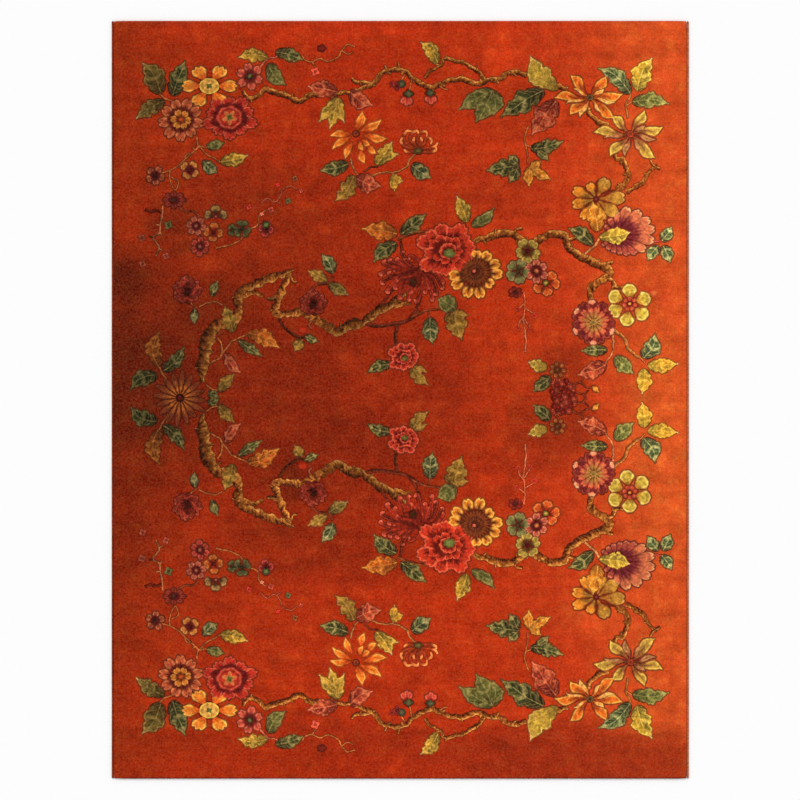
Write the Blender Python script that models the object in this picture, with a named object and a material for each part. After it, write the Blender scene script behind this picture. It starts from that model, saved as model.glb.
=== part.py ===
"""A room-sized hand-knotted wool rug, lying flat.

The knotted pile and the web it stands on are one flat solid with a softly rolled edge.
An overcast cord runs down each long side. The ends have no fringe: their web is turned
under, so it is part of the pile field.

Metres, +Z up. The origin is in the middle of the underside, +X runs across the rug and
+Y along it.
"""

import math

import bmesh
import bpy

# Driving sizes
RUG_WIDTH = 2.743  # nine feet, over both side cords
RUG_LENGTH = 3.600  # just under twelve feet
PILE_HEIGHT = 0.012  # 4 mm of woven web and 8 mm of clipped wool pile
CORD_WIDTH = 0.011
CORD_HEIGHT = 0.009
PIECE_GAP = 0.0003

# The pile field's edge
PILE_ROLL = 0.0045  # radius of the rolled upper edge
ROLL_STEPS = 4
UNDERSIDE_INSET = 0.001  # the web's lower edge is drawn in a little
UNDERSIDE_RISE = 0.0015
FIELD_CORNER = 0.006
CORNER_STEPS = 4

# The side cord's section and how it runs
FLAT_ANGLE = math.radians(55)  # below this the section is flat, where it lies on the floor
SECTION_STEPS = 13
CORD_STATIONS = 37
CORD_SWELL = 0.03  # share of the height by which the overcasting swells and thins
SWELLS = 11  # swells along a side
END_TAPER = [(0.0, 0.55), (0.002, 0.82), (0.005, 0.96)]  # distance from the end, share of size

# Derived sizes
FIELD_WIDTH = RUG_WIDTH - 2 * (CORD_WIDTH + PIECE_GAP)
CORD_X = (RUG_WIDTH - CORD_WIDTH) / 2

# Colours of the wool
MADDER_RED = (0.46, 0.055, 0.012, 1.0)
SIDE_BROWN = (0.30, 0.085, 0.030, 1.0)


def clear_scene():
    for thing in list(bpy.data.objects):
        bpy.data.objects.remove(thing, do_unlink=True)


def wool(name, colour):
    material = bpy.data.materials.new(name)
    material.use_nodes = True
    shader = material.node_tree.nodes["Principled BSDF"]
    shader.inputs["Base Color"].default_value = colour
    shader.inputs["Roughness"].default_value = 0.9
    shader.inputs["Metallic"].default_value = 0.0
    return material


def rounded_rectangle(width, length, radius):
    """Points of a rectangle with round corners, anticlockwise from its right side."""
    points = []
    for quarter, (side_x, side_y) in enumerate([(1, 1), (-1, 1), (-1, -1), (1, -1)]):
        centre_x = side_x * (width / 2 - radius)
        centre_y = side_y * (length / 2 - radius)
        for step in range(CORNER_STEPS + 1):
            angle = math.pi / 2 * (quarter + step / CORNER_STEPS)
            points.append((centre_x + radius * math.cos(angle), centre_y + radius * math.sin(angle)))
    return points


def ringed_body(name, rings, material):
    """One closed solid through rings of points, each anticlockwise round the way they stack."""
    mesh = bpy.data.meshes.new(name)
    bm = bmesh.new()
    loops = [[bm.verts.new(point) for point in ring] for ring in rings]
    count = len(loops[0])
    for lower, upper in zip(loops, loops[1:]):
        for k in range(count):
            after = (k + 1) % count
            bm.faces.new((lower[k], lower[after], upper[after], upper[k]))
    bm.faces.new(list(reversed(loops[0])))
    bm.faces.new(loops[-1])
    bmesh.ops.recalc_face_normals(bm, faces=bm.faces)
    bm.to_mesh(mesh)
    bm.free()
    mesh.shade_smooth()
    mesh.set_sharp_from_angle(angle=math.radians(40))
    mesh.materials.append(material)
    body = bpy.data.objects.new(name, mesh)
    bpy.context.scene.collection.objects.link(body)
    return body


def pile_field():
    """The flat field: straight sides, then a quarter round up to the face of the pile."""
    layers = [(UNDERSIDE_INSET, 0.0), (0.0, UNDERSIDE_RISE)]
    for step in range(ROLL_STEPS + 1):
        angle = math.pi / 2 * step / ROLL_STEPS
        inset = PILE_ROLL * (1 - math.cos(angle))
        layers.append((inset, PILE_HEIGHT - PILE_ROLL * (1 - math.sin(angle))))
    rings = []
    for inset, height in layers:
        outline = rounded_rectangle(FIELD_WIDTH - 2 * inset, RUG_LENGTH - 2 * inset, FIELD_CORNER)
        rings.append([(x, y, height) for x, y in outline])
    return ringed_body("pile_field", rings, wool("madder_pile", MADDER_RED))


def cord_section():
    """(x, z) points of the cord's section: an ellipse cut flat where it lies on the floor."""
    half_height = CORD_HEIGHT / (1 + math.sin(FLAT_ANGLE))
    sweep = math.pi + 2 * FLAT_ANGLE
    points = []
    for step in range(SECTION_STEPS):
        angle = -FLAT_ANGLE + sweep * step / (SECTION_STEPS - 1)
        height = half_height * (math.sin(FLAT_ANGLE) + math.sin(angle))
        points.append((CORD_WIDTH / 2 * math.cos(angle), height))
    return points


def cord_stations():
    """(y, share of size, share of height) down the cord, thinner at its two ends."""
    half = RUG_LENGTH / 2
    start = END_TAPER[-1][0] + 0.005
    stations = [(-half + inset, size, size) for inset, size in END_TAPER]
    for step in range(CORD_STATIONS):
        share = step / (CORD_STATIONS - 1)
        swell = 1 - CORD_SWELL * (0.5 - 0.5 * math.cos(2 * math.pi * SWELLS * share))
        stations.append((-half + start + (2 * half - 2 * start) * share, 1.0, swell))
    stations += [(half - inset, size, size) for inset, size in reversed(END_TAPER)]
    return stations


def side_cord(name, side, material):
    """The overcast cord on one long side: -1 is the left side and 1 the right."""
    section = cord_section()
    rings = []
    for along, size, height in cord_stations():
        rings.append([(side * CORD_X + x * size, along, z * height) for x, z in section])
    return ringed_body(name, rings, material)


def build():
    clear_scene()
    pile_field()
    overcasting = wool("overcasting_wool", SIDE_BROWN)
    side_cord("side_cord_left", -1, overcasting)
    side_cord("side_cord_right", 1, overcasting)


build()
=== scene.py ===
"""A hand-knotted wool rug seen from straight above: flowering branches on a red ground.

The design is laid out on a chart of squares, u to the right and v downwards, as a knotter's
chart is. Every leaf, petal and branch is a low patch of coloured pile that stands a little
proud of the ground, with a darker knotted outline round it.
"""

import math

import bpy
import numpy as np
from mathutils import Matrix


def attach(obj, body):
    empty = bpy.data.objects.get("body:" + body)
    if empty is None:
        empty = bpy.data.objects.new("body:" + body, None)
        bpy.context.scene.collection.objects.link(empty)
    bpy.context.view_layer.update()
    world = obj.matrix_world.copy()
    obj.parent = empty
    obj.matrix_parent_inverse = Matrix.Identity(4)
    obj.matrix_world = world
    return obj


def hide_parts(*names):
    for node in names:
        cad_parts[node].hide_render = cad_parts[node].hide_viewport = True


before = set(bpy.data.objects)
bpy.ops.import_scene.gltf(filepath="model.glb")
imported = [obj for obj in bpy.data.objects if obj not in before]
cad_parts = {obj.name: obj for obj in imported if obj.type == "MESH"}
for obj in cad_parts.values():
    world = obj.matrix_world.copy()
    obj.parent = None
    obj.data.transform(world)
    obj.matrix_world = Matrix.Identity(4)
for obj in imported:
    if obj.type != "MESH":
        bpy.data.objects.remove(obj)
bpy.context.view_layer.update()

# ------------------------ sizes, metres
RUG_WIDTH = 2.743
RUG_LENGTH = 3.600
CORD_WIDTH = 0.011
CORD_HEIGHT = 0.009
PIECE_GAP = 0.0003  # between the field and each side cord
FIELD_WIDTH = RUG_WIDTH - 2 * (CORD_WIDTH + PIECE_GAP)
PILE_FACE = 0.0112  # mean height of the clipped face
PILE_UNEVEN = 0.0003  # how far the face swells and dips
PILE_ROLL = 0.0045  # radius of the pile's rounded edge
ROLL_STEPS = 5
CORNER_PULL = 0.0018  # how far each corner of the field is drawn in
GROUND_STEP = 0.045  # between two points of the ground's mesh
LIFT = 0.0004  # from the ground's face to the top of the first patch
LIFT_STEP = 0.000008  # each patch stands this much above the one laid before it
LEAF_LIFT = 0.0003  # leaves stand this much above the stems
PETAL_LIFT = 0.0006  # petals stand this much above the stems
DOME = 0.0003  # how far a patch swells in its middle
SINK = 0.0006  # how far the foot of an outline goes down into the ground

# ------------------------ the chart, squares
CHART_SIZE = 800  # squares across and down, the frame of the photograph
CHART_MIDDLE = (400.25, 399.75)  # the rug's middle on the chart
CHART_LENGTH = 758.1  # squares from end to end of the rug
FOLD_LINE = 398.2  # the lower half of the design mirrors the upper half about this line
SQUARE = RUG_LENGTH / CHART_LENGTH
STEP = 0.8  # between two points of a branch, a twig or a rolled petal
LEAF_STEP = 0.68
PETAL_STEP = 0.92
OUTLINE_IN = 0.35  # from a patch's edge to the dark line of its outline
OUTLINE_OUT = 2.1  # from a patch's edge to the foot of its outline
RAGGED = 0.30  # how far the knots break up the edges
RAGGED_SWELL = 1.3  # from one break to the next
SEAM = 0.68  # how dark the very edge of a petal is, where it lies over its neighbour
LEAF_SEAM = 0.58
MOTTLE = 0.30  # how far the lights and darks of one dye differ
TINT = (1.02, 0.92, 0.82)  # evens out what the lamps add to the dyes
DARK_SPOT = (110, FOLD_LINE)  # the darkest place of the pile's painted shade, at the left side
DARK_REACH = (60, 170)  # its painted shade fades out between these distances
LEFT_SIDE = (140, 300)  # the pile's painted light rises towards the middle between these places
RIGHT_SIDE = (545, 645)  # and again towards the right side between these
LOWER_HALF = (FOLD_LINE + 20, FOLD_LINE + 120)  # the lower half's own painted light sets in here


def on_rug(u, v):
    """Metres across and along the rug for a place on the chart."""
    return (u - CHART_MIDDLE[0]) * SQUARE, (CHART_MIDDLE[1] - v) * SQUARE


def pile_face(x, y):
    """Height of the clipped face: slow swells, as a floor rug has."""
    swells = np.sin(7.1 * x + 2.3 * y) + np.sin(3.7 * y - 5.2 * x + 1.0) + np.sin(11.3 * y + 0.6)
    return PILE_FACE + PILE_UNEVEN / 3 * swells


# ------------------------ dyes, as seen, 0 to 255
def dye(*levels):
    return np.array(levels, float)


OUTLINE = dye(76, 25, 16)
MAROON = dye(88, 26, 30)
WINE = dye(122, 34, 40)
CRIMSON = dye(198, 52, 46)
ROSE = dye(196, 84, 74)
PINK = dye(232, 132, 112)
CREAM = dye(235, 205, 150)
GOLD = dye(206, 152, 64)
YELLOW = dye(208, 182, 84)
OLIVE = dye(108, 104, 50)
MOSS = dye(84, 90, 44)
PINE = dye(54, 64, 38)
SAGE = dye(98, 112, 62)
SILVER = dye(142, 146, 92)
BARK_LIGHT = dye(178, 122, 56)
BARK_MID = dye(120, 68, 30)
BARK_DARK = dye(64, 30, 16)
BARK_GLINT = dye(206, 152, 92)
BARK_EDGE = dye(88, 36, 19)
TWIG = dye(178, 106, 58)

# Across the rug: the share of the way and the ground's dye there, with the nap's painted light and shade,
# darker at the left
GROUND_RAMP = [
    (0.00, dye(146, 42, 13)), (0.15, dye(160, 43, 14)), (0.29, dye(166, 44, 14)),
    (0.42, dye(169, 43, 14)), (0.55, dye(173, 45, 15)), (0.67, dye(181, 49, 17)),
    (0.80, dye(193, 57, 22)), (0.91, dye(206, 74, 30)), (1.00, dye(213, 79, 32)),
]


def mix(first, second, share):
    """Between two dyes, share 0 to 1, where any of the three may be an array."""
    share = np.clip(np.asarray(share, float), 0, 1)[..., None]
    return first * (1 - share) + second * share


def ease(low, high, value):
    """From 0 at low to 1 at high, starting and ending gently."""
    step = np.clip((value - low) / (high - low), 0, 1)
    return step * step * (3 - 2 * step)


def chance(number):
    """A fixed value from 0 to 1 for each number."""
    return (math.sin(number * 12.9898 + 4.137) * 43758.5453) % 1.0


def rough(a, b):
    """Smooth noise from -1 to 1 over two directions, one swell to each unit."""
    i, j = np.floor(a), np.floor(b)
    p, q = a - i, b - j
    p, q = p * p * (3 - 2 * p), q * q * (3 - 2 * q)

    def corner(x, y):
        return 2 * ((np.sin(x * 12.9898 + y * 78.233) * 43758.5453) % 1.0) - 1

    upper = corner(i, j) * (1 - p) + corner(i + 1, j) * p
    lower = corner(i, j + 1) * (1 - p) + corner(i + 1, j + 1) * p
    return upper * (1 - q) + lower * q


def mottle(u, v):
    """Small uneven lights and darks, as yarns of one dye have."""
    return 1 + MOTTLE * (0.6 * rough(u / 2.1, v / 2.1) + 0.5 * rough(u / 1.1 + 9, v / 1.1))


def nap_light(u, v):
    """Painted light and shade of the pile: darkest at the left, where its nap leans away from the light."""
    shade = 0.14 * (1 - ease(*DARK_REACH, np.hypot(u - DARK_SPOT[0], (v - DARK_SPOT[1]) * 0.8)))
    upper = 0.90 + 0.12 * ease(*LEFT_SIDE, u) + 0.24 * ease(*RIGHT_SIDE, u) - shade
    return upper * (1 + (0.13 - 0.22 * ease(*RIGHT_SIDE, u)) * ease(*LOWER_HALF, v))


def ground_dye_and_nap_light(u):
    """The ground's dye across the chart with the nap's painted light and shade, for the soft outer edge of
    each outline.
    """
    share = (u - CHART_MIDDLE[0]) * SQUARE / RUG_WIDTH + 0.5
    shares, tones = zip(*GROUND_RAMP)
    return np.stack([np.interp(share, shares, level) for level in zip(*tones)], -1)


def to_light(share):
    """Levels as seen, 0 to 1, as linear light."""
    return np.where(share > 0.04045, ((share + 0.055) / 1.055) ** 2.4, share / 12.92)


def linear(colour):
    """A dye as seen, 0 to 255, as linear light with full opacity."""
    return (*to_light(np.asarray(colour, float) / 255).tolist(), 1.0)


# ------------------------ patches of pile
def add_object(name, points, faces, *materials):
    """A smooth mesh in the scene, with its materials."""
    mesh = bpy.data.meshes.new(name)
    mesh.from_pydata(points, [], faces)
    mesh.shade_smooth()
    for material in materials:
        mesh.materials.append(material)
    body = bpy.data.objects.new(name, mesh)
    bpy.context.scene.collection.objects.link(body)
    return body


def rim_of(index):
    """The points round the edge of a grid of points, in order."""
    return np.concatenate([index[0, :], index[1:, -1], index[-1, -2::-1], index[-2:0:-1, 0]])


def faces_down(u, v):
    """Whether a grid of places would show its faces from below."""
    span = (u[1:, 1:] - u[:-1, :-1]) * (v[1:, :-1] - v[:-1, 1:])
    span = span - (u[1:, :-1] - u[:-1, 1:]) * (v[1:, 1:] - v[:-1, :-1])
    return span.sum() > 0


def outward(u, v):
    """Directions away from a closed line of places, on its outer side."""
    ahead_u = np.roll(u, -1) - np.roll(u, 1)
    ahead_v = np.roll(v, -1) - np.roll(v, 1)
    length = np.maximum(np.hypot(ahead_u, ahead_v), 1e-6)
    out_u, out_v = ahead_v / length, -ahead_u / length
    if ((u - u.mean()) * out_u + (v - v.mean()) * out_v).sum() < 0:
        return -out_u, -out_v
    return out_u, out_v


class Bed:
    """The patches of one piece of the design, laid one over the other."""

    def __init__(self, name, wool, base):
        self.name = name
        self.wool = wool
        self.base = base
        self.points = []
        self.lifts = []
        self.dyes = []
        self.faces = []
        self.count = 0
        self.laid = 0

    def add_points(self, u, v, lift, dyes):
        """Keeps some points of the mesh, and gives the number of the first."""
        first = self.count
        self.points.append(np.stack([u, v], 1))
        self.lifts.append(lift)
        self.dyes.append(dyes)
        self.count += len(u)
        return first

    def patch(self, u, v, colours, rise=0.0, outline=OUTLINE, edge=OUTLINE_OUT, seam=0.0):
        """One patch from a grid of places, with the outline knotted round it.

        With a seam, the patch's own edge takes that share of the outline's dye.
        """
        u = u + RAGGED * rough(u / RAGGED_SWELL, v / RAGGED_SWELL)
        v = v + RAGGED * rough(u / RAGGED_SWELL + 5, v / RAGGED_SWELL + 9)
        if faces_down(u, v):
            u, v, colours = u[:, ::-1], v[:, ::-1], colours[:, ::-1]
        rows, cols = u.shape
        index = np.arange(rows * cols).reshape(rows, cols)
        around = rim_of(index)
        if seam:
            colours = colours.reshape(-1, 3).copy()
            colours[around] = (1 - seam) * colours[around] + seam * outline
            colours = colours.reshape(rows, cols, 3)
        down = np.linspace(0, 1, rows)[:, None]
        across = np.linspace(0, 1, cols)[None, :]
        dome = DOME * np.sin(math.pi * down) ** 0.5 * np.sin(math.pi * across) ** 0.5
        top = LIFT + self.base + rise + LIFT_STEP * self.laid
        shaded = (colours * mottle(u, v)[..., None]).reshape(-1, 3)
        first = self.add_points(u.ravel(), v.ravel(), (top + dome).ravel(), shaded)
        quads = np.stack([index[:-1, :-1], index[1:, :-1], index[1:, 1:], index[:-1, 1:]], -1)
        self.faces.append(quads.reshape(-1, 4) + first)
        self.outlined(u.ravel()[around], v.ravel()[around], first + around, top, outline, edge, seam)
        self.laid += 1

    def outlined(self, u, v, numbers, top, outline, edge, seam):
        """The outline round a patch's edge, fading to the ground's dye and painted nap light at its foot."""
        out_u, out_v = outward(u, v)
        faded = 0.68 * outline + 0.32 * ground_dye_and_nap_light(u)
        bands = [(edge, -SINK, faded)]
        if not seam:
            bands.insert(0, (OUTLINE_IN, top, outline + 0 * faded))
        inner = numbers
        for offset, lift, tone in bands:
            lifts = np.full(len(u), lift)
            first = self.add_points(u + out_u * offset, v + out_v * offset, lifts, tone)
            outer = first + np.arange(len(u))
            after_in, after_out = np.roll(inner, -1), np.roll(outer, -1)
            self.faces.append(np.stack([inner, after_in, after_out, outer], 1))
            inner = outer

    def piece(self, name, mirrored):
        """The mesh of this piece, or of its mirror image in the other half of the rug."""
        places = np.concatenate(self.points)
        faces = np.concatenate(self.faces)
        u, v = places[:, 0], places[:, 1]
        if mirrored:
            v = 2 * FOLD_LINE - v
            faces = faces[:, ::-1]
        # the pile's painted light and shade from its nap, multiplied into every patch's dyes
        light = nap_light(u, v)[:, None]
        colours = np.clip(np.concatenate(self.dyes) * light * np.array(TINT), 0, 255) / 255
        x, y = on_rug(u, v)
        z = pile_face(x, y) + np.concatenate(self.lifts)
        body = add_object(name, np.stack([x, y, z], 1).tolist(), faces.tolist(), self.wool)
        attribute = body.data.color_attributes.new("dye", "FLOAT_COLOR", "POINT")
        values = np.concatenate([to_light(colours), np.ones((len(colours), 1))], 1)
        attribute.data.foreach_set("color", values.ravel())
        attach(body, "root")
        return body


def grid(length, width, step=PETAL_STEP):
    """Shares down a patch from 0 to 1 and across it from -1 to 1, at even steps."""
    rows = max(6, round(length / step) + 1)
    cols = max(5, 2 * round(width / step / 2) + 1)
    return np.linspace(0, 1, rows)[:, None], np.linspace(-1, 1, cols)[None, :]


def smooth_line(points, step=STEP):
    """Places at even steps along a smooth line through the points, and the share of the way."""
    points = np.array(points, float)
    ends = np.concatenate([[2 * points[0] - points[1]], points, [2 * points[-1] - points[-2]]])
    fine, marks = [], []
    for k in range(len(points) - 1):
        a, b, c, d = ends[k : k + 4]
        t = np.linspace(0, 1, 24, endpoint=False)[:, None]
        fine.append(
            0.5 * (2 * b + (c - a) * t + (2 * a - 5 * b + 4 * c - d) * t**2
                   + (3 * b - a - 3 * c + d) * t**3)
        )
        marks.append(k + t[:, 0])
    fine = np.concatenate(fine + [points[-1:]])
    marks = np.concatenate(marks + [[len(points) - 1]])
    run = np.concatenate([[0], np.cumsum(np.hypot(*np.diff(fine, axis=0).T))])
    count = max(4, round(run[-1] / step) + 1)
    even = np.linspace(0, run[-1], count)
    places = np.stack([np.interp(even, run, fine[:, 0]), np.interp(even, run, fine[:, 1])], 1)
    return places, even, np.interp(even, run, marks)


LIGHT_FROM = (-0.5, 0.87)  # the drawn light falls from the top, a little from the right
LIGHT_BELOW = (-0.75, -0.66)  # on the trunk and the middle branch it falls from below


def strip(bed, points, widths, paint, outline=OUTLINE, edge=OUTLINE_OUT, knobs=0.0, stray=0.0,
          light_from=LIGHT_FROM):
    """A strip along a smooth line. paint gives its dyes from the run, the side and the light.

    knobs is the share by which its width swells and thins, stray how far it wanders aside.
    """
    places, run, marks = smooth_line(points)
    phase = points[0][0] + points[0][1]
    widths = np.interp(marks, np.linspace(0, len(points) - 1, len(widths)), widths)
    swell = 1.2 * rough(run / 5.0 + phase, phase) + 0.7 * rough(run / 2.0, phase)
    widths = widths * (1 + knobs * swell)
    ahead = np.gradient(places, axis=0)
    ahead /= np.maximum(np.hypot(ahead[:, 0], ahead[:, 1]), 1e-6)[:, None]
    aside = np.stack([-ahead[:, 1], ahead[:, 0]], 1)
    wander = stray * (2.0 * rough(run / 7.0, phase) + 1.0 * rough(run / 3.0, phase + 5))
    places = places + aside * wander[:, None]
    cols = max(3, 2 * round(max(widths) / STEP / 2) + 1)
    across = np.linspace(-1, 1, cols)[None, :]
    u = places[:, :1] + aside[:, :1] * widths[:, None] / 2 * across
    v = places[:, 1:] + aside[:, 1:] * widths[:, None] / 2 * across
    light = -(aside[:, :1] * light_from[0] + aside[:, 1:] * light_from[1]) * across
    colours = paint(run[:, None] + 0 * across, across + 0 * run[:, None], light)
    bed.patch(u, v, colours, outline=outline, edge=edge)


# ------------------------ leaves
# Each kind's body, second half, rim, then its veins, base and tip
LEAF_DYES = {
    "olive": (dye(84, 78, 40), dye(100, 92, 48), dye(168, 142, 82),
              dye(160, 146, 92), dye(58, 44, 26), CREAM),
    "pine": (dye(49, 61, 38), dye(61, 74, 44), dye(128, 128, 78),
             dye(184, 178, 124), dye(40, 34, 23), SILVER),
    "teal": (dye(54, 72, 52), dye(68, 86, 62), dye(142, 146, 102),
             dye(198, 198, 146), dye(42, 44, 33), SILVER),
    "lime": (dye(174, 144, 50), dye(126, 112, 46), dye(224, 196, 92),
             dye(226, 198, 108), dye(98, 88, 42), CREAM),
    "citron": (dye(200, 182, 80), dye(186, 170, 72), dye(236, 220, 132),
               dye(172, 146, 70), dye(122, 106, 50), CREAM),
    "amber": (dye(204, 126, 42), dye(172, 106, 40), dye(230, 172, 78),
              dye(234, 186, 96), dye(112, 66, 28), YELLOW),
    "moss": (dye(150, 122, 52), dye(128, 104, 46), dye(174, 132, 74),
             dye(190, 162, 88), dye(84, 62, 32), GOLD),
    "yellow": (dye(186, 143, 47), dye(156, 126, 46), dye(214, 174, 77),
               dye(220, 182, 90), OLIVE, CREAM),
    "sage": (dye(94, 104, 58), dye(83, 93, 53), dye(144, 144, 92),
             dye(160, 160, 106), dye(62, 62, 38), SILVER),
    "gold": (dye(186, 96, 34), dye(150, 84, 36), dye(224, 148, 66),
             dye(228, 158, 80), dye(96, 50, 24), YELLOW),
    "rose": (dye(174, 71, 51), dye(136, 48, 41), dye(210, 114, 86),
             dye(222, 142, 106), dye(82, 28, 25), PINK),
    "brown": (dye(176, 98, 42), dye(138, 78, 36), dye(208, 134, 62),
              dye(214, 146, 76), dye(84, 44, 24), GOLD),
}

HOOK = 0.07  # how far a leaf's tip curls aside, a share of its length
LOBE_PACE = 0.9  # the lobes grow a little longer towards the tip
FIRST_LOBE = 0.12  # the share of a lobe that the stalk end cuts off
LEFT_LEAF = dye(0.88, 0.84, 0.78)  # the leaves' dyes are muted, and darker on the left of the rug with the nap's painted shade
RIGHT_LEAF = dye(0.97, 0.97, 0.88)
LEAF_CHANGE = (560, 620)  # from the left leaves to the right ones, across the chart


def leaf(bed, base, tip, width, kind, lobes, notch, bend=0.0, peak=0.75, rise=0.0):
    """A lobed leaf from its stalk end to its tip, bent to one side by a share of its length."""
    base, tip = np.array(base, float), np.array(tip, float)
    length = math.dist(base, tip)
    ahead = (tip - base) / length
    aside = np.array([-ahead[1], ahead[0]])
    s, t = grid(length, width, LEAF_STEP)
    phase = chance(base[0] + base[1])
    swell = np.sin(math.pi * s**peak) ** (0.7 + 0.7 * ease(0.5, 1.0, s))
    side = np.sign(t) * 0.06 * phase
    wave = np.abs(np.sin(math.pi * (lobes * s**LOBE_PACE + FIRST_LOBE + side)))
    teeth = 0.13 * rough(4.5 * lobes * s + 0 * t, np.sign(t) + 9 * phase)
    cuts = 1 - (notch * (1 - wave) ** 1.5 + teeth) * ease(0.05, 0.2, s)
    half = np.maximum(width / 2 * swell * cuts, 0.45)
    along = length * (s + 0.10 * np.abs(t) ** 1.5 * (1 - s) * ease(0, 0.2, s))
    hook = HOOK * (1 if phase > 0.5 else -1) * length * (ease(0.6, 1.0, s) - 0.5 * s)
    lean = bend * length * np.sin(math.pi * s) + hook
    u = base[0] + ahead[0] * along + aside[0] * (t * half + lean)
    v = base[1] + ahead[1] * along + aside[1] * (t * half + lean)
    slant = lobes * (s**LOBE_PACE - 0.35 * np.abs(t) / max(lobes, 1)) + FIRST_LOBE + side
    bed.patch(u, v, leaf_colours(kind, s, t, u, v, half, slant), rise, seam=LEAF_SEAM)


def leaf_colours(kind, s, t, u, v, half, slant):
    """Dyes of a leaf: two halves, dark folds between the lobes, a pale rim and the veins."""
    body, second, edge, veins, dark, end = LEAF_DYES[kind]
    edge_gap = (1 - np.abs(t)) * half
    off_rib = np.abs(t) * half
    colours = mix(body, second, ease(-0.15, 0.15, t + 0 * s))
    colours = mix(colours, dark, 0.8 * (1 - ease(0.0, 0.5, s + 0 * t)))
    ridge = np.abs(np.sin(math.pi * slant))
    colours = mix(colours, dark, 0.65 * (1 - ease(0.0, 0.4, ridge)) * ease(0.2, 0.6, np.abs(t)))
    broken = 0.72 + 0.28 * rough(u / 1.4, v / 1.4)
    colours = mix(colours, edge, broken * (1 - ease(1.2, 2.3, edge_gap)) * ease(0.1, 0.35, s))
    bent = slant + 0.10 * rough(u / 3.1, v / 3.1)
    fine = np.abs(np.sin(math.pi * (3 * bent + 0.5)))
    colours = mix(colours, veins, 0.52 * broken * ease(0.72, 0.98, fine) * ease(0.12, 0.3, np.abs(t)))
    side_vein = ease(0.84, 1.0, ridge) * (1 - ease(0.65, 0.9, np.abs(t)))
    colours = mix(colours, veins, 0.90 * broken * side_vein * ease(0.1, 0.25, s))
    rib = (1 - ease(0.25, 0.75, off_rib)) * (1 - ease(0.8, 0.95, s))
    colours = mix(colours, veins, 0.95 * broken * rib)
    colours = mix(colours, end, 0.8 * ease(0.86, 0.97, s + 0 * t))
    # muted dyes, with the nap's painted shade deeper on the left
    return colours * mix(LEFT_LEAF, RIGHT_LEAF, ease(*LEAF_CHANGE, u))


# ------------------------ petals and blossoms
def scallop(t, tips):
    """Rounded tips side by side across a petal's end: 1 at each tip and 0 between them."""
    wave = math.pi / 2 * tips * t
    return np.abs(np.cos(wave) if tips % 2 else np.sin(wave))


def petal(bed, root, angle, length, width, paint, notch=0.12, tips=2, corner=0.3, waist=1.0,
          bend=0.0, rise=0.0, squash=1.0, outline=OUTLINE):
    """A petal from its root outwards. tips is the count of rounded tips along its end."""
    s, t = grid(length, width)
    reach = 1 - corner * np.abs(t) ** 2.2 - notch * (1 - scallop(t, tips) ** 0.7)
    along = length * s * (1 + (reach - 1) * ease(0.1, 1.0, s))
    half = np.maximum(width / 2 * np.sin(math.pi / 2 * np.minimum(s * 1.02, 1)) ** waist, 0.4)
    lean = bend * length * s**2
    ahead = np.array([math.cos(angle), math.sin(angle)])
    aside = np.array([-ahead[1], ahead[0]])
    u = root[0] + ahead[0] * along + aside[0] * (t * half + lean)
    v = root[1] + (ahead[1] * along + aside[1] * (t * half + lean)) * squash
    colours = paint(s + 0 * t, t + 0 * s, length, half + 0 * t)
    bed.patch(u, v, colours, rise, outline, seam=SEAM)


def lance(bed, root, tip, width, paint, peak, bend, point, sway, outline=OUTLINE):
    """A narrow pointed petal from its root to its tip, bowed by bend and S-shaped by sway."""
    length = math.dist(root, tip)
    s, t = grid(length, width)
    sharp = point + 0.45 * ease(0.55, 1.0, s)
    half = np.maximum(width / 2 * np.maximum(np.sin(math.pi * s**peak), 0) ** sharp, 0.4)
    ahead = (np.array(tip, float) - np.array(root, float)) / length
    aside = np.array([-ahead[1], ahead[0]])
    lean = length * (bend * np.sin(math.pi * s) + sway * np.sin(2 * math.pi * s))
    u = root[0] + ahead[0] * length * s + aside[0] * (t * half + lean)
    v = root[1] + ahead[1] * length * s + aside[1] * (t * half + lean)
    colours = paint(s + 0 * t, t + 0 * s, length, half + 0 * t)
    bed.patch(u, v, colours, outline=outline, seam=SEAM)


def petal_paint(root, body, rim, streak, root_end, rim_width=1.4, line=None):
    """Dyes of a petal: dark at its root, streaked outwards, with a pale rim.

    With a line, only the petal's end is pale, and the line's dye runs down both sides.
    """
    def paint(s, t, length, half):
        reach = root_end + streak * (0.5 + 0.5 * np.cos(9 * t))
        colours = mix(root, body, ease(reach - 0.22, reach + 0.12, s))
        gap = (1 - s) * length
        side_gap = (1 - np.abs(t)) * half
        if line is None:
            gap = np.minimum(gap, side_gap)
        pale = 1 - ease(rim_width * 0.5 + PETAL_STEP / 2, rim_width * 1.2 + PETAL_STEP / 2, gap)
        colours = mix(colours, rim, 0.9 * pale * ease(0.3, 0.55, s))
        dark = 0.85 * (1 - ease(0.5, 1.7, side_gap)) * ease(1.2, 2.8, half)
        return colours if line is None else mix(colours, line, dark)
    return paint


def disc(bed, middle, radius, paint, squash=1.0, lobes=0, depth=0.12, turn=0.0, rise=0.0,
         outline=OUTLINE, edge=OUTLINE_OUT):
    """A round or lobed patch. paint gives its dyes from the distance and the angle."""
    count = max(7, 2 * round(radius * 1.5 / PETAL_STEP / 2) + 1)
    a, b = np.meshgrid(np.linspace(-1, 1, count), np.linspace(-1, 1, count))
    p = a * np.sqrt(np.maximum(1 - b * b / 2, 0))
    q = b * np.sqrt(np.maximum(1 - a * a / 2, 0))
    far = np.hypot(p, q)
    angle = np.arctan2(q, p)
    reach = radius * (1 - depth * (0.5 - 0.5 * np.cos(lobes * (angle - turn))) * far)
    u = middle[0] + p * reach
    v = middle[1] + q * reach * squash
    bed.patch(u, v, paint(far, angle), rise, outline, edge)


def rings(heart, *bands):
    """Dyes in rings: the heart's dye, then the radius share where each next dye starts."""
    def paint(far, angle):
        colours = np.broadcast_to(heart, far.shape + (3,)).copy()
        for start, tone in bands:
            colours = mix(colours, tone, ease(start - 0.08, start + 0.08, far))
        return colours
    return paint


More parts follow.
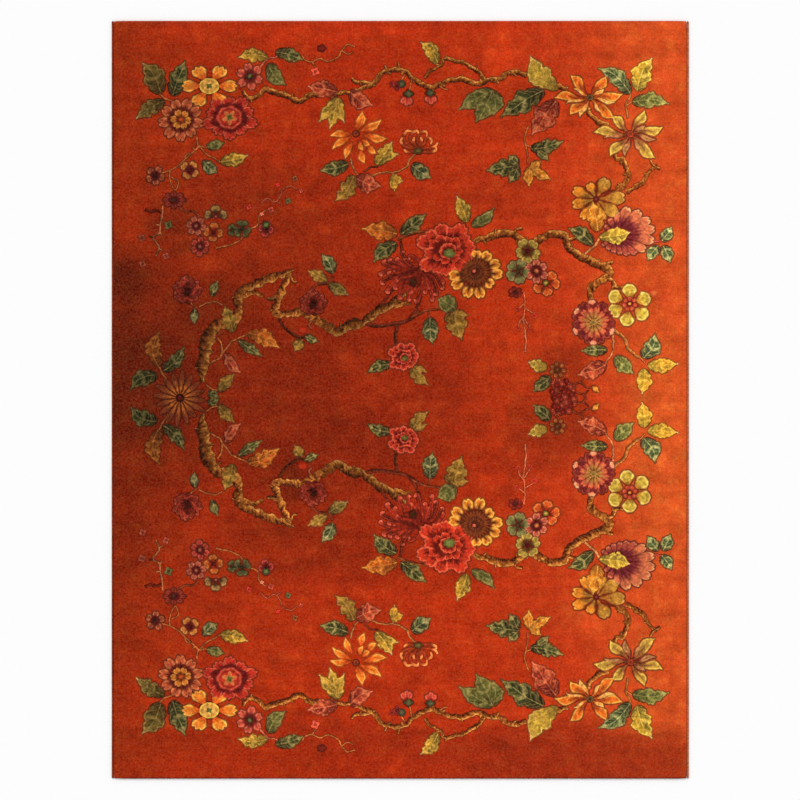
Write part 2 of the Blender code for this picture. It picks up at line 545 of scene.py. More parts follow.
def rayed(inner, outer, rays, core):
    """Dyes of a centre with rays."""
    def paint(far, angle):
        ray = ease(0.3, 0.7, 0.5 + 0.5 * np.cos(rays * angle)) * ease(core, core + 0.2, far)
        return mix(inner, outer, ray)
    return paint


def towards(middle, reach, angle, squash=1.0):
    """The place at this reach and angle from a middle."""
    return (middle[0] + reach * math.cos(angle), middle[1] + reach * math.sin(angle) * squash)


def part_way(start, end, share_u, share_v):
    """The place at these shares of the way across and down the chart."""
    return (start[0] + (end[0] - start[0]) * share_u, start[1] + (end[1] - start[1]) * share_v)


def angle_to(middle, place):
    return math.atan2(place[1] - middle[1], place[0] - middle[0])


def blossom(bed, middle, radius, count, paint, width=1.0, turn=0.0, inner=0.15, squash=1.0,
            notch=0.14, tips=2, corner=0.3, uneven=0.08, rise=0.0, waist=1.0):
    """Petals round a middle, every other one over its neighbours."""
    broad = width * 2 * math.pi * radius * 0.72 / count
    for k in (*range(0, count, 2), *range(1, count, 2)):
        angle = turn + 2 * math.pi * k / count
        length = radius * (1 - inner) * (1 + uneven * (2 * chance(k + middle[0]) - 1))
        root = towards(middle, radius * inner, angle, squash)
        petal(bed, root, angle, length, broad, paint, notch, tips, corner, waist, squash=squash,
              rise=rise)


def petals_to(bed, middle, tips, width, paint, inner, **settings):
    """Petals from round a middle to the places of their tips."""
    for place in tips:
        angle = angle_to(middle, place)
        root = towards(middle, inner, angle)
        petal(bed, root, angle, math.dist(root, place), width, paint, **settings)


def round_petals(bed, places, radius, paint, middle, **settings):
    """Broad round petals, each centred on a place and opening away from the middle."""
    for place in places:
        angle = angle_to(middle, place)
        root = (place[0] - radius * math.cos(angle), place[1] - radius * math.sin(angle))
        petal(bed, root, angle, 2 * radius, 2 * radius, paint, **settings)


def curl(bed, points, width, body, tip, tip_start, sides=0.0, **settings):
    """A rolled petal along a line. The tip's dye covers its end, and its sides by their share."""
    def paint(run, across, light):
        share = run / max(run.max(), 1e-6)
        tone = mix(body * 0.70, body, ease(-0.7, 0.2, light))
        tone = mix(tone, tip, ease(tip_start, tip_start + 0.18, share))
        tone = mix(tone, tip, sides * ease(0.2, 0.5, share) * ease(0.55, 0.95, np.abs(across)))
        return mix(tone, body * 0.5, 0.6 * (1 - ease(0.0, 0.3, share)))
    strip(bed, points, [width * 0.7, width, width * 0.95, width * 0.6], paint, **settings)


# ------------------------ branches and twigs
BRANCH_SLIM = 0.80  # the outline takes up the rest of a branch's width
BRANCH_OUTLINE = 1.4  # squares from a branch's edge to the foot of its outline
THORN_GAP = 17.0  # squares between two thorns
THORN_WIDTHS = [2.6, 1.0]  # at the root and the tip


def bark(run, across, light):
    """Dyes of bark: gold where the light falls, dark below, broken by short strokes."""
    slant = run + 1.5 * across
    tone = 0.9 * light - 0.04 + 0.30 * rough(slant / 3.0, 1.2 * across)
    tone = tone + 0.66 * rough(slant / 1.1, 1.6 * across + 4)
    colours = mix(BARK_DARK, BARK_MID, ease(-0.80, -0.15, tone))
    colours = mix(colours, BARK_LIGHT, ease(-0.05, 0.65, tone))
    return mix(colours, BARK_GLINT, 0.75 * ease(0.60, 1.05, tone))


def branch(bed, points, widths, shade=1.0, light_from=LIGHT_FROM):
    """A branch of knotted bark, with short thorns standing off it on either side."""
    start = points[0][0] + points[0][1]

    def paint(run, across, light):
        return bark(run + start, across, light) * shade

    places, run, marks = smooth_line(points)
    thick = np.interp(marks, np.linspace(0, len(points) - 1, len(widths)), widths)
    for k in range(int(run[-1] / THORN_GAP)):
        at = int((k + 0.2 + 0.6 * chance(start + k)) * THORN_GAP / STEP)
        ahead = places[at + 1] - places[at]
        ahead = ahead / np.hypot(*ahead)
        aside = np.array([-ahead[1], ahead[0]]) * (1 if chance(start + 3 * k) > 0.45 else -1)
        tip = places[at] + aside * (thick[at] / 2 + 1.2) + ahead * 3 * chance(start + 5 * k)
        strip(bed, [places[at], tip], THORN_WIDTHS, paint, BARK_EDGE, BRANCH_OUTLINE,
              light_from=light_from)
    slim = [BRANCH_SLIM * width for width in widths]
    strip(bed, points, slim, paint, BARK_EDGE, BRANCH_OUTLINE, knobs=0.22, stray=0.45,
          light_from=light_from)


def twig(bed, points, width=1.8, tone=TWIG):
    """A thin stem that narrows a little, light above and dark below."""
    def paint(run, across, light):
        return mix(tone * 0.62, tone, ease(-0.5, 0.2, light + 0.3 * np.sin(run / 3.0)))
    strip(bed, points, [0.72 * width, 0.62 * width], paint, edge=1.0, knobs=0.1, stray=0.3)


# ------------------------ shader nodes
class Wiring:
    """Adds nodes to a tree, with their inputs given in order as sockets or values."""

    def __init__(self, tree):
        self.tree = tree

    def add(self, kind, *inputs, **settings):
        """A node with its settings and inputs."""
        node = self.tree.nodes.new(kind)
        for name, value in settings.items():
            setattr(node, name, value)
        for socket, value in zip(node.inputs, inputs):
            self.feed(socket, value)
        return node

    def feed(self, socket, value):
        if isinstance(value, bpy.types.NodeSocket):
            self.tree.links.new(value, socket)
        elif value is not None:
            socket.default_value = value

    def sum(self, operation, *inputs):
        return self.add("ShaderNodeMath", *inputs, operation=operation).outputs[0]

    def stretch(self, vector, factors):
        return self.add("ShaderNodeVectorMath", vector, factors, operation="MULTIPLY").outputs[0]

    def noise(self, vector, scale, detail, rough, distortion=0.0):
        node = self.add("ShaderNodeTexNoise")
        for name, value in (("Vector", vector), ("Scale", scale), ("Detail", detail),
                            ("Roughness", rough), ("Distortion", distortion)):
            self.feed(node.inputs[name], value)
        return node.outputs

    def spread(self, value, low, high, to_low, to_high):
        """A value from one range eased into another."""
        node = self.add("ShaderNodeMapRange", value, low, high, to_low, to_high)
        node.interpolation_type = "SMOOTHSTEP"
        return node.outputs[0]

    def blend(self, share, first, second, mode="MIX"):
        node = self.add("ShaderNodeMix", data_type="RGBA", blend_type=mode)
        self.feed(node.inputs[0], share)
        self.feed(node.inputs[6], first)
        self.feed(node.inputs[7], second)
        return node.outputs[2]


def node_group(name, inputs, outputs):
    """An empty shader group with named inputs, each with its kind and value, and outputs."""
    group = bpy.data.node_groups.new(name, "ShaderNodeTree")
    for label, kind, value in inputs:
        socket = group.interface.new_socket(label, in_out="INPUT", socket_type=kind)
        if value is not None:
            socket.default_value = value
    for label, kind in outputs:
        group.interface.new_socket(label, in_out="OUTPUT", socket_type=kind)
    wires = Wiring(group)
    return group, wires, wires.add("NodeGroupInput").outputs, wires.add("NodeGroupOutput").inputs


def make_knots():
    """Knots of clipped wool: each cell is one knot, a little lighter or darker."""
    group, wires, given, out = node_group(
        "knots",
        [("Vector", "NodeSocketVector", None), ("Pitch", "NodeSocketFloat", 0.004)],
        [("Shade", "NodeSocketFloat"), ("Height", "NodeSocketFloat")],
    )
    density = wires.sum("DIVIDE", 1.0, given["Pitch"])
    cells = wires.add("ShaderNodeTexVoronoi", voronoi_dimensions="2D")
    wires.feed(cells.inputs["Vector"], given["Vector"])
    wires.feed(cells.inputs["Scale"], density)
    cells.inputs["Randomness"].default_value = 0.55
    tone = wires.add("ShaderNodeSeparateColor", cells.outputs["Color"]).outputs[0]
    wires.feed(out["Shade"], tone)
    height = wires.spread(cells.outputs["Distance"], 0.0, 0.75, 1.0, 0.0)
    wires.feed(out["Height"], height)
    return group


FIBRE_TINT = (1.0, 0.42, 0.28)  # what the painted sheen of the fibre ends adds, in red, green and blue


def make_fleck():
    """Uneven dye and worn wool, from fine flecks to slow clouds, and the painted sheen of fibre ends."""
    group, wires, given, out = node_group(
        "wool_fleck",
        [
            ("Vector", "NodeSocketVector", None),
            ("Fine", "NodeSocketFloat", 0.35),
            ("Broad", "NodeSocketFloat", 0.35),
            ("Fibre", "NodeSocketFloat", 0.05),
        ],
        [("Tone", "NodeSocketFloat"), ("Ends", "NodeSocketColor")],
    )
    fine = wires.noise(given["Vector"], scale=70.0, detail=4.0, rough=0.75)[0]
    broad = wires.noise(given["Vector"], scale=9.0, detail=5.0, rough=0.72)[0]
    fine_part = wires.sum("MULTIPLY", wires.sum("SUBTRACT", fine, 0.5), given["Fine"])
    broad_part = wires.sum("MULTIPLY", wires.sum("SUBTRACT", broad, 0.5), given["Broad"])
    wires.feed(out["Tone"], wires.sum("ADD", wires.sum("ADD", fine_part, broad_part), 1.0))
    tufts = wires.noise(given["Vector"], scale=85.0, detail=3.0, rough=0.9)[0]
    raised = wires.sum("MULTIPLY", wires.spread(tufts, 0.30, 0.72, -0.9, 1.1), given["Fibre"])
    grey = wires.add("ShaderNodeCombineXYZ", raised, raised, raised).outputs[0]
    wires.feed(out["Ends"], wires.stretch(grey, FIBRE_TINT))
    return group


def make_abrash():
    """Bands along the weft where one dye lot gives way to the next, and the lines of the web."""
    group, wires, given, out = node_group(
        "abrash",
        [("Vector", "NodeSocketVector", None), ("Strength", "NodeSocketFloat", 0.2)],
        [("Tone", "NodeSocketFloat")],
    )
    wide = wires.stretch(given["Vector"], (0.9, 9.0, 1.0))
    bands = wires.noise(wide, scale=2.2, detail=3.0, rough=0.5, distortion=0.3)[0]
    along_weft = wires.stretch(given["Vector"], (2.0, 60.0, 1.0))
    picks = wires.noise(along_weft, scale=3.0, detail=2.0, rough=0.5)[0]
    along_warp = wires.stretch(given["Vector"], (60.0, 2.0, 1.0))
    warps = wires.noise(along_warp, scale=3.0, detail=2.0, rough=0.5)[0]
    lines = wires.sum("MULTIPLY", wires.sum("ADD", picks, warps), 0.5)
    all_three = wires.sum("SUBTRACT", wires.sum("ADD", bands, lines), 1.0)
    change = wires.sum("MULTIPLY", all_three, given["Strength"])
    wires.feed(out["Tone"], wires.sum("ADD", change, 1.0))
    return group


def make_dye_patch():
    """A soft-edged patch of another dye laid over a colour."""
    group, wires, given, out = node_group(
        "dye_patch",
        [
            ("Colour", "NodeSocketColor", None),
            ("Vector", "NodeSocketVector", None),
            ("Middle", "NodeSocketVector", None),
            ("Reach", "NodeSocketVector", (1.0, 1.0, 1.0)),
            ("Dye", "NodeSocketColor", None),
            ("Strength", "NodeSocketFloat", 0.5),
        ],
        [("Colour", "NodeSocketColor")],
    )
    away = wires.add("ShaderNodeVectorMath", given["Vector"], given["Middle"], operation="SUBTRACT")
    share = wires.add("ShaderNodeVectorMath", away.outputs[0], given["Reach"], operation="DIVIDE")
    far = wires.add("ShaderNodeVectorMath", share.outputs[0], operation="LENGTH").outputs["Value"]
    cover = wires.sum("MULTIPLY", wires.spread(far, 0.25, 1.0, 1.0, 0.0), given["Strength"])
    wires.feed(out["Colour"], wires.blend(cover, given["Colour"], given["Dye"]))
    return group


WOOL_SPECULAR = 0.03
SHEEN_ROUGHNESS = 0.5
SHEEN_TINT = linear(dye(240, 160, 110))
KNOTS = make_knots()
FLECK = make_fleck()
ABRASH = make_abrash()
DYE_PATCH = make_dye_patch()


class Finish(Wiring):
    """A material with one Principled shader, and the effects that the wool shares."""

    def __init__(self, name, roughness, sheen):
        self.material = bpy.data.materials.new(name)
        self.material.use_nodes = True
        super().__init__(self.material.node_tree)
        self.shader = self.tree.nodes["Principled BSDF"]
        self.shader.inputs["Roughness"].default_value = roughness
        self.shader.inputs["Specular IOR Level"].default_value = WOOL_SPECULAR
        self.shader.inputs["Sheen Weight"].default_value = sheen
        self.shader.inputs["Sheen Roughness"].default_value = SHEEN_ROUGHNESS
        self.shader.inputs["Sheen Tint"].default_value = SHEEN_TINT
        self.place = self.add("ShaderNodeTexCoord").outputs["Object"]

    def effect(self, group, **values):
        """A shared effect, laid out by the object's own place unless another is given."""
        node = self.add("ShaderNodeGroup", node_tree=group)
        for name, value in {"Vector": self.place, **values}.items():
            self.feed(node.inputs[name], value)
        return node.outputs

    def shade(self, colour, *tones, ends=None):
        """The colour with its value raised and lowered by each tone, and the painted sheen of fibre ends
        added.
        """
        for tone in tones:
            node = self.add("ShaderNodeHueSaturation")
            self.feed(node.inputs["Color"], colour)
            self.feed(node.inputs["Value"], tone)
            colour = node.outputs[0]
        return colour if ends is None else self.blend(1.0, colour, ends, "ADD")

    def finish(self, colour, height, strength, distance):
        """The material, with this colour and the bumps of this height."""
        self.feed(self.shader.inputs["Base Color"], colour)
        bump = self.add("ShaderNodeBump")
        bump.inputs["Strength"].default_value = strength
        bump.inputs["Distance"].default_value = distance
        self.feed(bump.inputs["Height"], height)
        self.feed(self.shader.inputs["Normal"], bump.outputs[0])
        return self.material


def dyed_wool(name, pitch, contrast, fine, broad, fibre, roughness, sheen):
    """Wool that takes its colour from the dyes knotted into each patch."""
    finish = Finish(name, roughness, sheen)
    chosen = finish.add("ShaderNodeAttribute", attribute_name="dye").outputs["Color"]
    knots = finish.effect(KNOTS, Pitch=pitch)
    fleck = finish.effect(FLECK, Fine=fine, Broad=broad, Fibre=fibre)
    tone = finish.spread(knots["Shade"], 0.0, 1.0, 1.0 - contrast, 1.0 + contrast)
    shaded = finish.shade(chosen, tone, fleck["Tone"], ends=fleck["Ends"])
    return finish.finish(shaded, knots["Height"], strength=0.5, distance=0.0006)


LEAF_WOOL = dyed_wool("leaf_wool", pitch=0.0036, contrast=0.18, fine=0.60, broad=0.30,
                      fibre=0.02, roughness=0.88, sheen=0.03)
PETAL_WOOL = dyed_wool("petal_wool", pitch=0.0033, contrast=0.14, fine=0.50, broad=0.25,
                       fibre=0.02, roughness=0.80, sheen=0.05)
BARK_WOOL = dyed_wool("bark_wool", pitch=0.0040, contrast=0.22, fine=0.70, broad=0.35,
                      fibre=0.03, roughness=0.92, sheen=0.02)


# ------------------------ the ground
# Soft patches: middle and reach in squares of the chart, dye, strength
# The dark patches at the left side and the pale ones at the right also give the nap's painted light and
# shade.
GROUND_PATCHES = [
    ((400, 660), (240, 110), dye(184, 50, 17), 0.6),
    ((250, 240), (170, 70), dye(136, 38, 12), 0.55),
    ((290, 390), (250, 170), dye(114, 32, 11), 0.70),
    ((400, 300), (90, 50), dye(140, 40, 14), 0.4),
    ((420, 440), (150, 110), dye(134, 37, 13), 0.30),
    ((108, 380), (150, 150), dye(80, 26, 9), 0.80),
    ((112, 274), (80, 34), dye(72, 24, 8), 0.70),
    ((176, 222), (40, 22), dye(104, 34, 12), 0.6),
    ((240, 190), (60, 26), dye(134, 38, 13), 0.5),
    ((215, 310), (70, 40), dye(96, 32, 11), 0.5),
    ((118, 520), (80, 110), dye(118, 33, 10), 0.6),
    ((290, 480), (40, 28), dye(84, 27, 10), 0.6),
    ((300, 545), (130, 60), dye(126, 36, 12), 0.55),
    ((215, 265), (46, 18), dye(176, 48, 14), 0.45),
    ((186, 250), (26, 18), dye(92, 30, 10), 0.5),
    ((176, 208), (30, 22), dye(100, 33, 12), 0.45),
    ((528, 440), (26, 120), dye(146, 42, 15), 0.35),
    ((290, 305), (22, 26), dye(104, 32, 11), 0.35),
    ((500, 48), (22, 50), dye(214, 62, 22), 0.5),
    ((590, 615), (44, 34), dye(226, 84, 34), 0.35),
    ((290, 30), (190, 26), dye(190, 50, 18), 0.6),
    ((560, 430), (60, 60), dye(128, 38, 14), 0.6),
    ((560, 362), (40, 40), dye(128, 38, 14), 0.6),
    ((505, 370), (50, 90), dye(184, 54, 18), 0.4),
    ((380, 385), (60, 60), dye(164, 44, 15), 0.5),
    ((140, 385), (40, 40), dye(110, 34, 12), 0.6),
    ((665, 440), (50, 150), dye(216, 88, 35), 0.6),
    ((670, 120), (60, 120), dye(208, 74, 30), 0.5),
    ((420, 738), (330, 22), dye(140, 38, 14), 0.45),
    ((600, 762), (240, 56), dye(150, 42, 17), 0.85),
    ((520, 100), (90, 40), dye(156, 44, 15), 0.4),
    ((190, 765), (110, 20), dye(172, 44, 15), 0.5),
    ((180, 690), (110, 60), dye(172, 46, 15), 0.5),
    ((220, 185), (150, 60), dye(128, 36, 12), 0.35),
    ((225, 285), (90, 44), dye(110, 32, 11), 0.30),
    ((500, 190), (90, 44), dye(150, 44, 16), 0.35),
    ((408, 535), (40, 60), dye(122, 36, 13), 0.40),
    ((408, 496), (26, 22), dye(96, 30, 12), 0.40),
    ((280, 220), (200, 90), dye(118, 35, 12), 0.20),
    ((310, 470), (190, 60), dye(122, 35, 12), 0.22),
    ((652, 298), (26, 18), dye(190, 60, 26), 0.8),
    ((654, 297), (6, 5), dye(226, 110, 52), 0.8),
]
WANDER = 0.13  # how far the patches' edges wander, metres
END_FADE = (0.010, 0.003)  # each end's painted light and shade, where the pile rolls over, fades in between these distances from it, metres


def dyes_and_nap_light_across(finish, across):
    """The ground's dyes from the left side of the rug to the right, with the nap's painted light and shade:
    darker at the left, paler and more orange at the right.
    """
    way = finish.add("ShaderNodeMapRange", across, -RUG_WIDTH / 2, RUG_WIDTH / 2, 0.0, 1.0)
    ramp = finish.add("ShaderNodeValToRGB", way.outputs[0])
    stops = ramp.color_ramp.elements
    for share, tone in GROUND_RAMP[1:-1]:
        stops.new(share)
    for stop, (share, tone) in zip(stops, GROUND_RAMP):
        stop.position = share
        stop.color = linear(tone)
    return ramp.outputs[0]


def patches_and_nap_light(finish, colour, place):
    """The soft patches of other dyes, some of them the nap's painted light and shade, each over the ones
    before it.
    """
    for middle, reach, tone, strength in GROUND_PATCHES:
        x, y = on_rug(*middle)
        patch = finish.effect(
            DYE_PATCH, Vector=place, Colour=colour, Middle=(x, y, 0.0), Dye=linear(tone),
            Strength=strength, Reach=(reach[0] * SQUARE, reach[1] * SQUARE, 1.0))
        colour = patch["Colour"]
    return colour


def painted_end_light_and_shade(finish, colour):
    """Painted light and shade where the pile rolls over both ends: paler at the top of the chart and darker
    below.
    """
    along = finish.add("ShaderNodeSeparateXYZ", finish.place).outputs[1]
    inner, outer = (RUG_LENGTH / 2 - distance for distance in END_FADE)
    upper_end = finish.spread(along, inner, outer, 0.0, 0.55)
    lower_end = finish.spread(along, -outer, -inner, 0.85, 0.0)
    colour = finish.blend(upper_end, colour, linear(dye(176, 80, 56)))
    return finish.blend(lower_end, colour, linear(dye(118, 36, 24)))


def madder_ground():
    """The ground: madder red, dark on the left and orange on the right, in soft patches."""
    finish = Finish("madder_ground", roughness=0.86, sheen=0.02)
    wander = finish.noise(finish.place, scale=2.6, detail=3.0, rough=0.6)["Color"]
    centred = finish.add("ShaderNodeVectorMath", wander, (0.5, 0.5, 0.5), operation="SUBTRACT")
    drift = finish.stretch(centred.outputs[0], (2 * WANDER, 2 * WANDER, 0.0))
    moved = finish.add("ShaderNodeVectorMath", finish.place, drift, operation="ADD").outputs[0]
    across = finish.add("ShaderNodeSeparateXYZ", moved).outputs[0]
    flat = finish.stretch(moved, (1.0, 1.0, 0.0))
    # the ground's dyes with the nap's painted light and shade, then the soft patches over them
    colour = patches_and_nap_light(finish, dyes_and_nap_light_across(finish, across), flat)
    cloud = finish.noise(finish.place, scale=16.0, detail=4.0, rough=0.7)[0]
    orange = finish.stretch(colour, (1.20, 2.0, 1.7))
    colour = finish.blend(finish.spread(cloud, 0.46, 0.74, 0.0, 0.60), colour, orange)
    # painted highlight on the upper end's rolled pile, painted shade on the lower one
    colour = painted_end_light_and_shade(finish, colour)
    knots = finish.effect(KNOTS, Pitch=0.0042)
    fleck = finish.effect(FLECK, Fine=0.42, Broad=1.20, Fibre=0.040)
    bands = finish.effect(ABRASH, Strength=0.50)
    tone = finish.spread(knots["Shade"], 0.0, 1.0, 0.86, 1.14)
    shaded = finish.shade(colour, tone, fleck["Tone"], bands["Tone"], ends=fleck["Ends"])
    return finish.finish(shaded, knots["Height"], strength=0.6, distance=0.0008)


def woven_back():
    """The underside: rows of knot backs between the wefts, paler than the pile."""
    finish = Finish("woven_back", roughness=0.92, sheen=0.0)
    knots = finish.effect(KNOTS, Pitch=0.0048)
    fleck = finish.effect(FLECK, Fine=0.5, Broad=0.3)
    rows = finish.add("ShaderNodeTexWave", wave_type="BANDS", bands_direction="Y")
    finish.feed(rows.inputs["Vector"], finish.place)
    rows.inputs["Scale"].default_value = 62.0
    weft = finish.blend(finish.sum("MULTIPLY", rows.outputs["Fac"], 0.35),
                        linear(dye(150, 58, 32)), linear(dye(176, 132, 88)))
    height = finish.sum("ADD", knots["Height"], rows.outputs["Fac"])
    return finish.finish(finish.shade(weft, fleck["Tone"]), height, strength=0.5, distance=0.0006)


def wound_yarn():
    """The overcasting: brownish yarn, lighter and darker from turn to turn, with painted light and shade
    that makes the left cord darker than the right.
    """
    finish = Finish("wound_yarn", roughness=0.84, sheen=0.08)
    each_turn = finish.stretch(finish.place, (20.0, 110.0, 20.0))
    turns = finish.noise(each_turn, scale=1.0, detail=2.0, rough=0.6)[0]
    each_lot = finish.stretch(finish.place, (1.0, 6.0, 1.0))
    lots = finish.noise(each_lot, scale=1.0, detail=3.0, rough=0.6)[0]
    across = finish.add("ShaderNodeSeparateXYZ", finish.place).outputs[0]
    # painted light and shade: the left cord darker, the right one lighter, as across the pile
    side = finish.spread(across, -1.0, 1.0, 0.0, 1.0)
    base = finish.blend(side, linear(dye(122, 50, 30)), linear(dye(176, 94, 54)))
    tone = finish.spread(turns, 0.3, 0.7, 0.78, 1.28)
    slow = finish.spread(lots, 0.25, 0.75, 0.85, 1.15)
    fibre = finish.noise(finish.place, scale=420.0, detail=2.0, rough=0.6)[0]
    return finish.finish(finish.shade(base, tone, slow), fibre, strength=0.3, distance=0.0004)


def square_ring(inset, across, along):
    """Places round the field, evenly along each side, with its corners drawn in a little."""
    half_width, half_length = FIELD_WIDTH / 2 - inset, RUG_LENGTH / 2 - inset
    x = np.linspace(-half_width, half_width, across + 1)
    y = np.linspace(-half_length, half_length, along + 1)
    around = [(a, -half_length) for a in x[:-1]] + [(half_width, b) for b in y[:-1]]
    around += [(a, half_length) for a in x[:0:-1]] + [(-half_width, b) for b in y[:0:-1]]
    ring = np.array(around)
    corners = [0, across, across + along, 2 * across + along]
    ring[corners] -= np.copysign(CORNER_PULL, ring[corners])
    return ring


def rolled_side():
    """The pile's side from its face to the floor: how far in, and the share of the height."""
    quarter = np.linspace(0, math.pi / 2, ROLL_STEPS)[1:]
    rolled = [(PILE_ROLL * (1 - math.sin(a)), 1 - (1 - math.cos(a)) * PILE_ROLL / PILE_FACE)
              for a in quarter]
    return rolled + [(0.0, 0.2), (0.001, 0.02)]


def rug_ground():
    """The pile field with its uneven clipped face, rolled edges and flat woven back."""
    across = round(FIELD_WIDTH / GROUND_STEP)
    along = round(RUG_LENGTH / GROUND_STEP)
    inner_x = np.linspace(-1, 1, across + 1) * (FIELD_WIDTH / 2 - PILE_ROLL)
    inner_y = np.linspace(-1, 1, along + 1) * (RUG_LENGTH / 2 - PILE_ROLL)
    x, y = np.meshgrid(inner_x, inner_y)
    top = np.stack([x, y, pile_face(x, y)], -1).reshape(-1, 3)
    low = np.stack([x, y, 0 * x], -1).reshape(-1, 3)
    index = np.arange(len(top)).reshape(along + 1, across + 1)
    quads = np.stack([index[:-1, :-1], index[:-1, 1:], index[1:, 1:], index[1:, :-1]], -1)
    quads = quads.reshape(-1, 4)
    points = [top, low]
    faces = [quads, quads[:, ::-1] + len(top)]
    rim = rim_of(index)
    loops = [rim]
    count = 2 * len(top)
    for inset, height in rolled_side():
        ring = square_ring(inset, across, along)
        points.append(np.column_stack([ring, pile_face(ring[:, 0], ring[:, 1]) * height]))
        loops.append(count + np.arange(len(ring)))
        count += len(ring)
    loops.append(rim + len(top))
    for upper, lower in zip(loops, loops[1:]):
        faces.append(np.stack([upper, lower, np.roll(lower, -1), np.roll(upper, -1)], 1))
    body = add_object("rug_ground", np.concatenate(points).tolist(), np.concatenate(faces).tolist(),
                      madder_ground(), woven_back())
    backs = np.zeros(len(body.data.polygons), int)
    backs[len(quads) : 2 * len(quads)] = 1
    backs[-len(rim) :] = 1
    body.data.polygons.foreach_set("material_index", backs)
    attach(body, "root")
    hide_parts("pile_field")
    return body


# ------------------------ the side cords
CORD_TURN = 0.0052  # from one turn of the yarn to the next
CORD_RIDGE = 0.07  # how deep the grooves between turns are, a share of the cord's size
CORD_STEP = 0.0013  # between two rounds of points
CORD_POINTS = 9  # in each round
CORD_END = 0.0005  # the cord stops this far short of the rug's end
CORD_TAPER = 0.004  # its ends are rounded over this length
CORD_FOOT = math.radians(50)  # how far below its middle the cord is still round, over a flat foot


def side_cord(name, side, wool):
    """Warps at one long side with wool yarn wound close and slanting round them."""
    half = RUG_LENGTH / 2 - CORD_END
    rows = round(2 * half / CORD_STEP)
    y = np.linspace(-half, half, rows + 1)[:, None]
    angle = np.linspace(-CORD_FOOT, math.pi + CORD_FOOT, CORD_POINTS)[None, :]
    end = np.sqrt(np.clip((half - np.abs(y)) / CORD_TAPER, 0.12, 1))
    slow = 1 + 0.03 * np.sin(y * 9.0 + side) + 0.02 * np.sin(y * 23.0)
    ridge = 1 - CORD_RIDGE * (0.5 + 0.5 * np.cos(2 * math.pi * y / CORD_TURN - side * angle))
    size = end * ridge * np.minimum(slow, 1.0)
    rise = CORD_HEIGHT / (1 + math.sin(CORD_FOOT))
    x = side * (RUG_WIDTH - CORD_WIDTH) / 2 + CORD_WIDTH / 2 * np.cos(angle) * size
    z = rise * (math.sin(CORD_FOOT) + np.sin(angle)) * size + 0 * y
    points = np.stack([x, y + 0 * angle, z], -1).reshape(-1, 3)
    index = np.arange(len(points)).reshape(rows + 1, CORD_POINTS)
    after = np.roll(index, -1, axis=1)
    quads = np.stack([index[:-1], after[:-1], after[1:], index[1:]], -1).reshape(-1, 4)
    faces = quads[:, ::-1].tolist()
    faces += [index[0].tolist(), index[-1][::-1].tolist()]
    body = add_object(name, points.tolist(), faces, wool)
    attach(body, "root")
    return body


# ------------------------ the design, upper half
# Rows of twigs give the line, the width and the dye, and rows of branches the line and the
# widths along it. Rows of leaves give the stalk end, the tip, the width, the kind, the lobes,
# the notch between them, the bend and the peak. Rows of small flowers give the middle, the
# radius, the count of petals, the dyes of body, rim and heart, the turn and the petals' width.
MIRRORED_BEDS = []
SINGLE_BEDS = []


def beds(region):
    """The stems, leaves and blossoms of one region of the design."""
    made = (Bed("stems_" + region, BARK_WOOL, 0.0), Bed("leaves_" + region, LEAF_WOOL, LEAF_LIFT),
            Bed("blossoms_" + region, PETAL_WOOL, PETAL_LIFT))
    MIRRORED_BEDS.extend(made)
    return made


GOLD_PETAL = petal_paint(dye(196, 88, 34), dye(214, 130, 48), dye(238, 188, 94), 0.2, 0.26, 1.7)
SALMON_PETAL = petal_paint(dye(74, 25, 22), dye(168, 80, 51), dye(202, 124, 84), 0.25, 0.4)
PINK_PETAL = petal_paint(dye(84, 26, 30), dye(172, 72, 60), dye(206, 114, 92), 0.15, 0.35, 1.0)
CRIMSON_PETAL = petal_paint(dye(86, 22, 20), dye(164, 46, 35), dye(206, 94, 72), 0.12, 0.46, 1.2)
CORAL_PETAL = petal_paint(dye(92, 24, 17), dye(168, 50, 32), dye(212, 96, 70), 0.14, 0.5, 1.6)
SMALL_CORAL = petal_paint(dye(86, 22, 18), dye(166, 48, 32), dye(216, 102, 78), 0.12, 0.52, 0.9)
ORANGE_RAY = petal_paint(dye(176, 74, 28), dye(216, 120, 44), dye(234, 164, 82), 0.2, 0.35, 1.1)
PARTING = dye(92, 36, 20)
AMBER_PETAL = petal_paint(dye(130, 96, 42), dye(196, 124, 42), dye(220, 160, 72), 0.2, 0.45, 1.8, PARTING)
MUSTARD_PETAL = petal_paint(dye(146, 94, 38), dye(160, 120, 50), dye(188, 148, 76), 0.2, 0.4, 1.8, PARTING)


def small_flower(bed, middle, radius, count, body, rim, heart, turn=0.3, width=1.0, root=MAROON, **settings):
    """A little blossom with a dot at its heart."""
    paint = petal_paint(root * 0.85, body * 0.86, rim * 0.88, 0.1, 0.42, 0.9)
    blossom(bed, middle, radius * 0.96, count, paint, width * 0.86, turn, notch=0.18, **settings)
    disc(bed, middle, max(1.5, radius * 0.17), rings(heart, (0.6, heart * 0.7)), rise=0.0002, edge=0.8)


def bud(bed, middle, radius, tone, calyx=None, turn=0.0):
    """A closed bud, with its green calyx to the side of its turn where it shows."""
    disc(bed, middle, radius * 0.9, rings(tone * 0.66, (0.45, tone * 1.08)), 1.0, 4, 0.4, turn + 0.4,
         edge=0.8)
    if calyx is not None:
        disc(bed, towards(middle, radius, turn), radius * 0.7, rings(calyx, (0.5, calyx * 0.7)),
             rise=0.0001, edge=0.9)


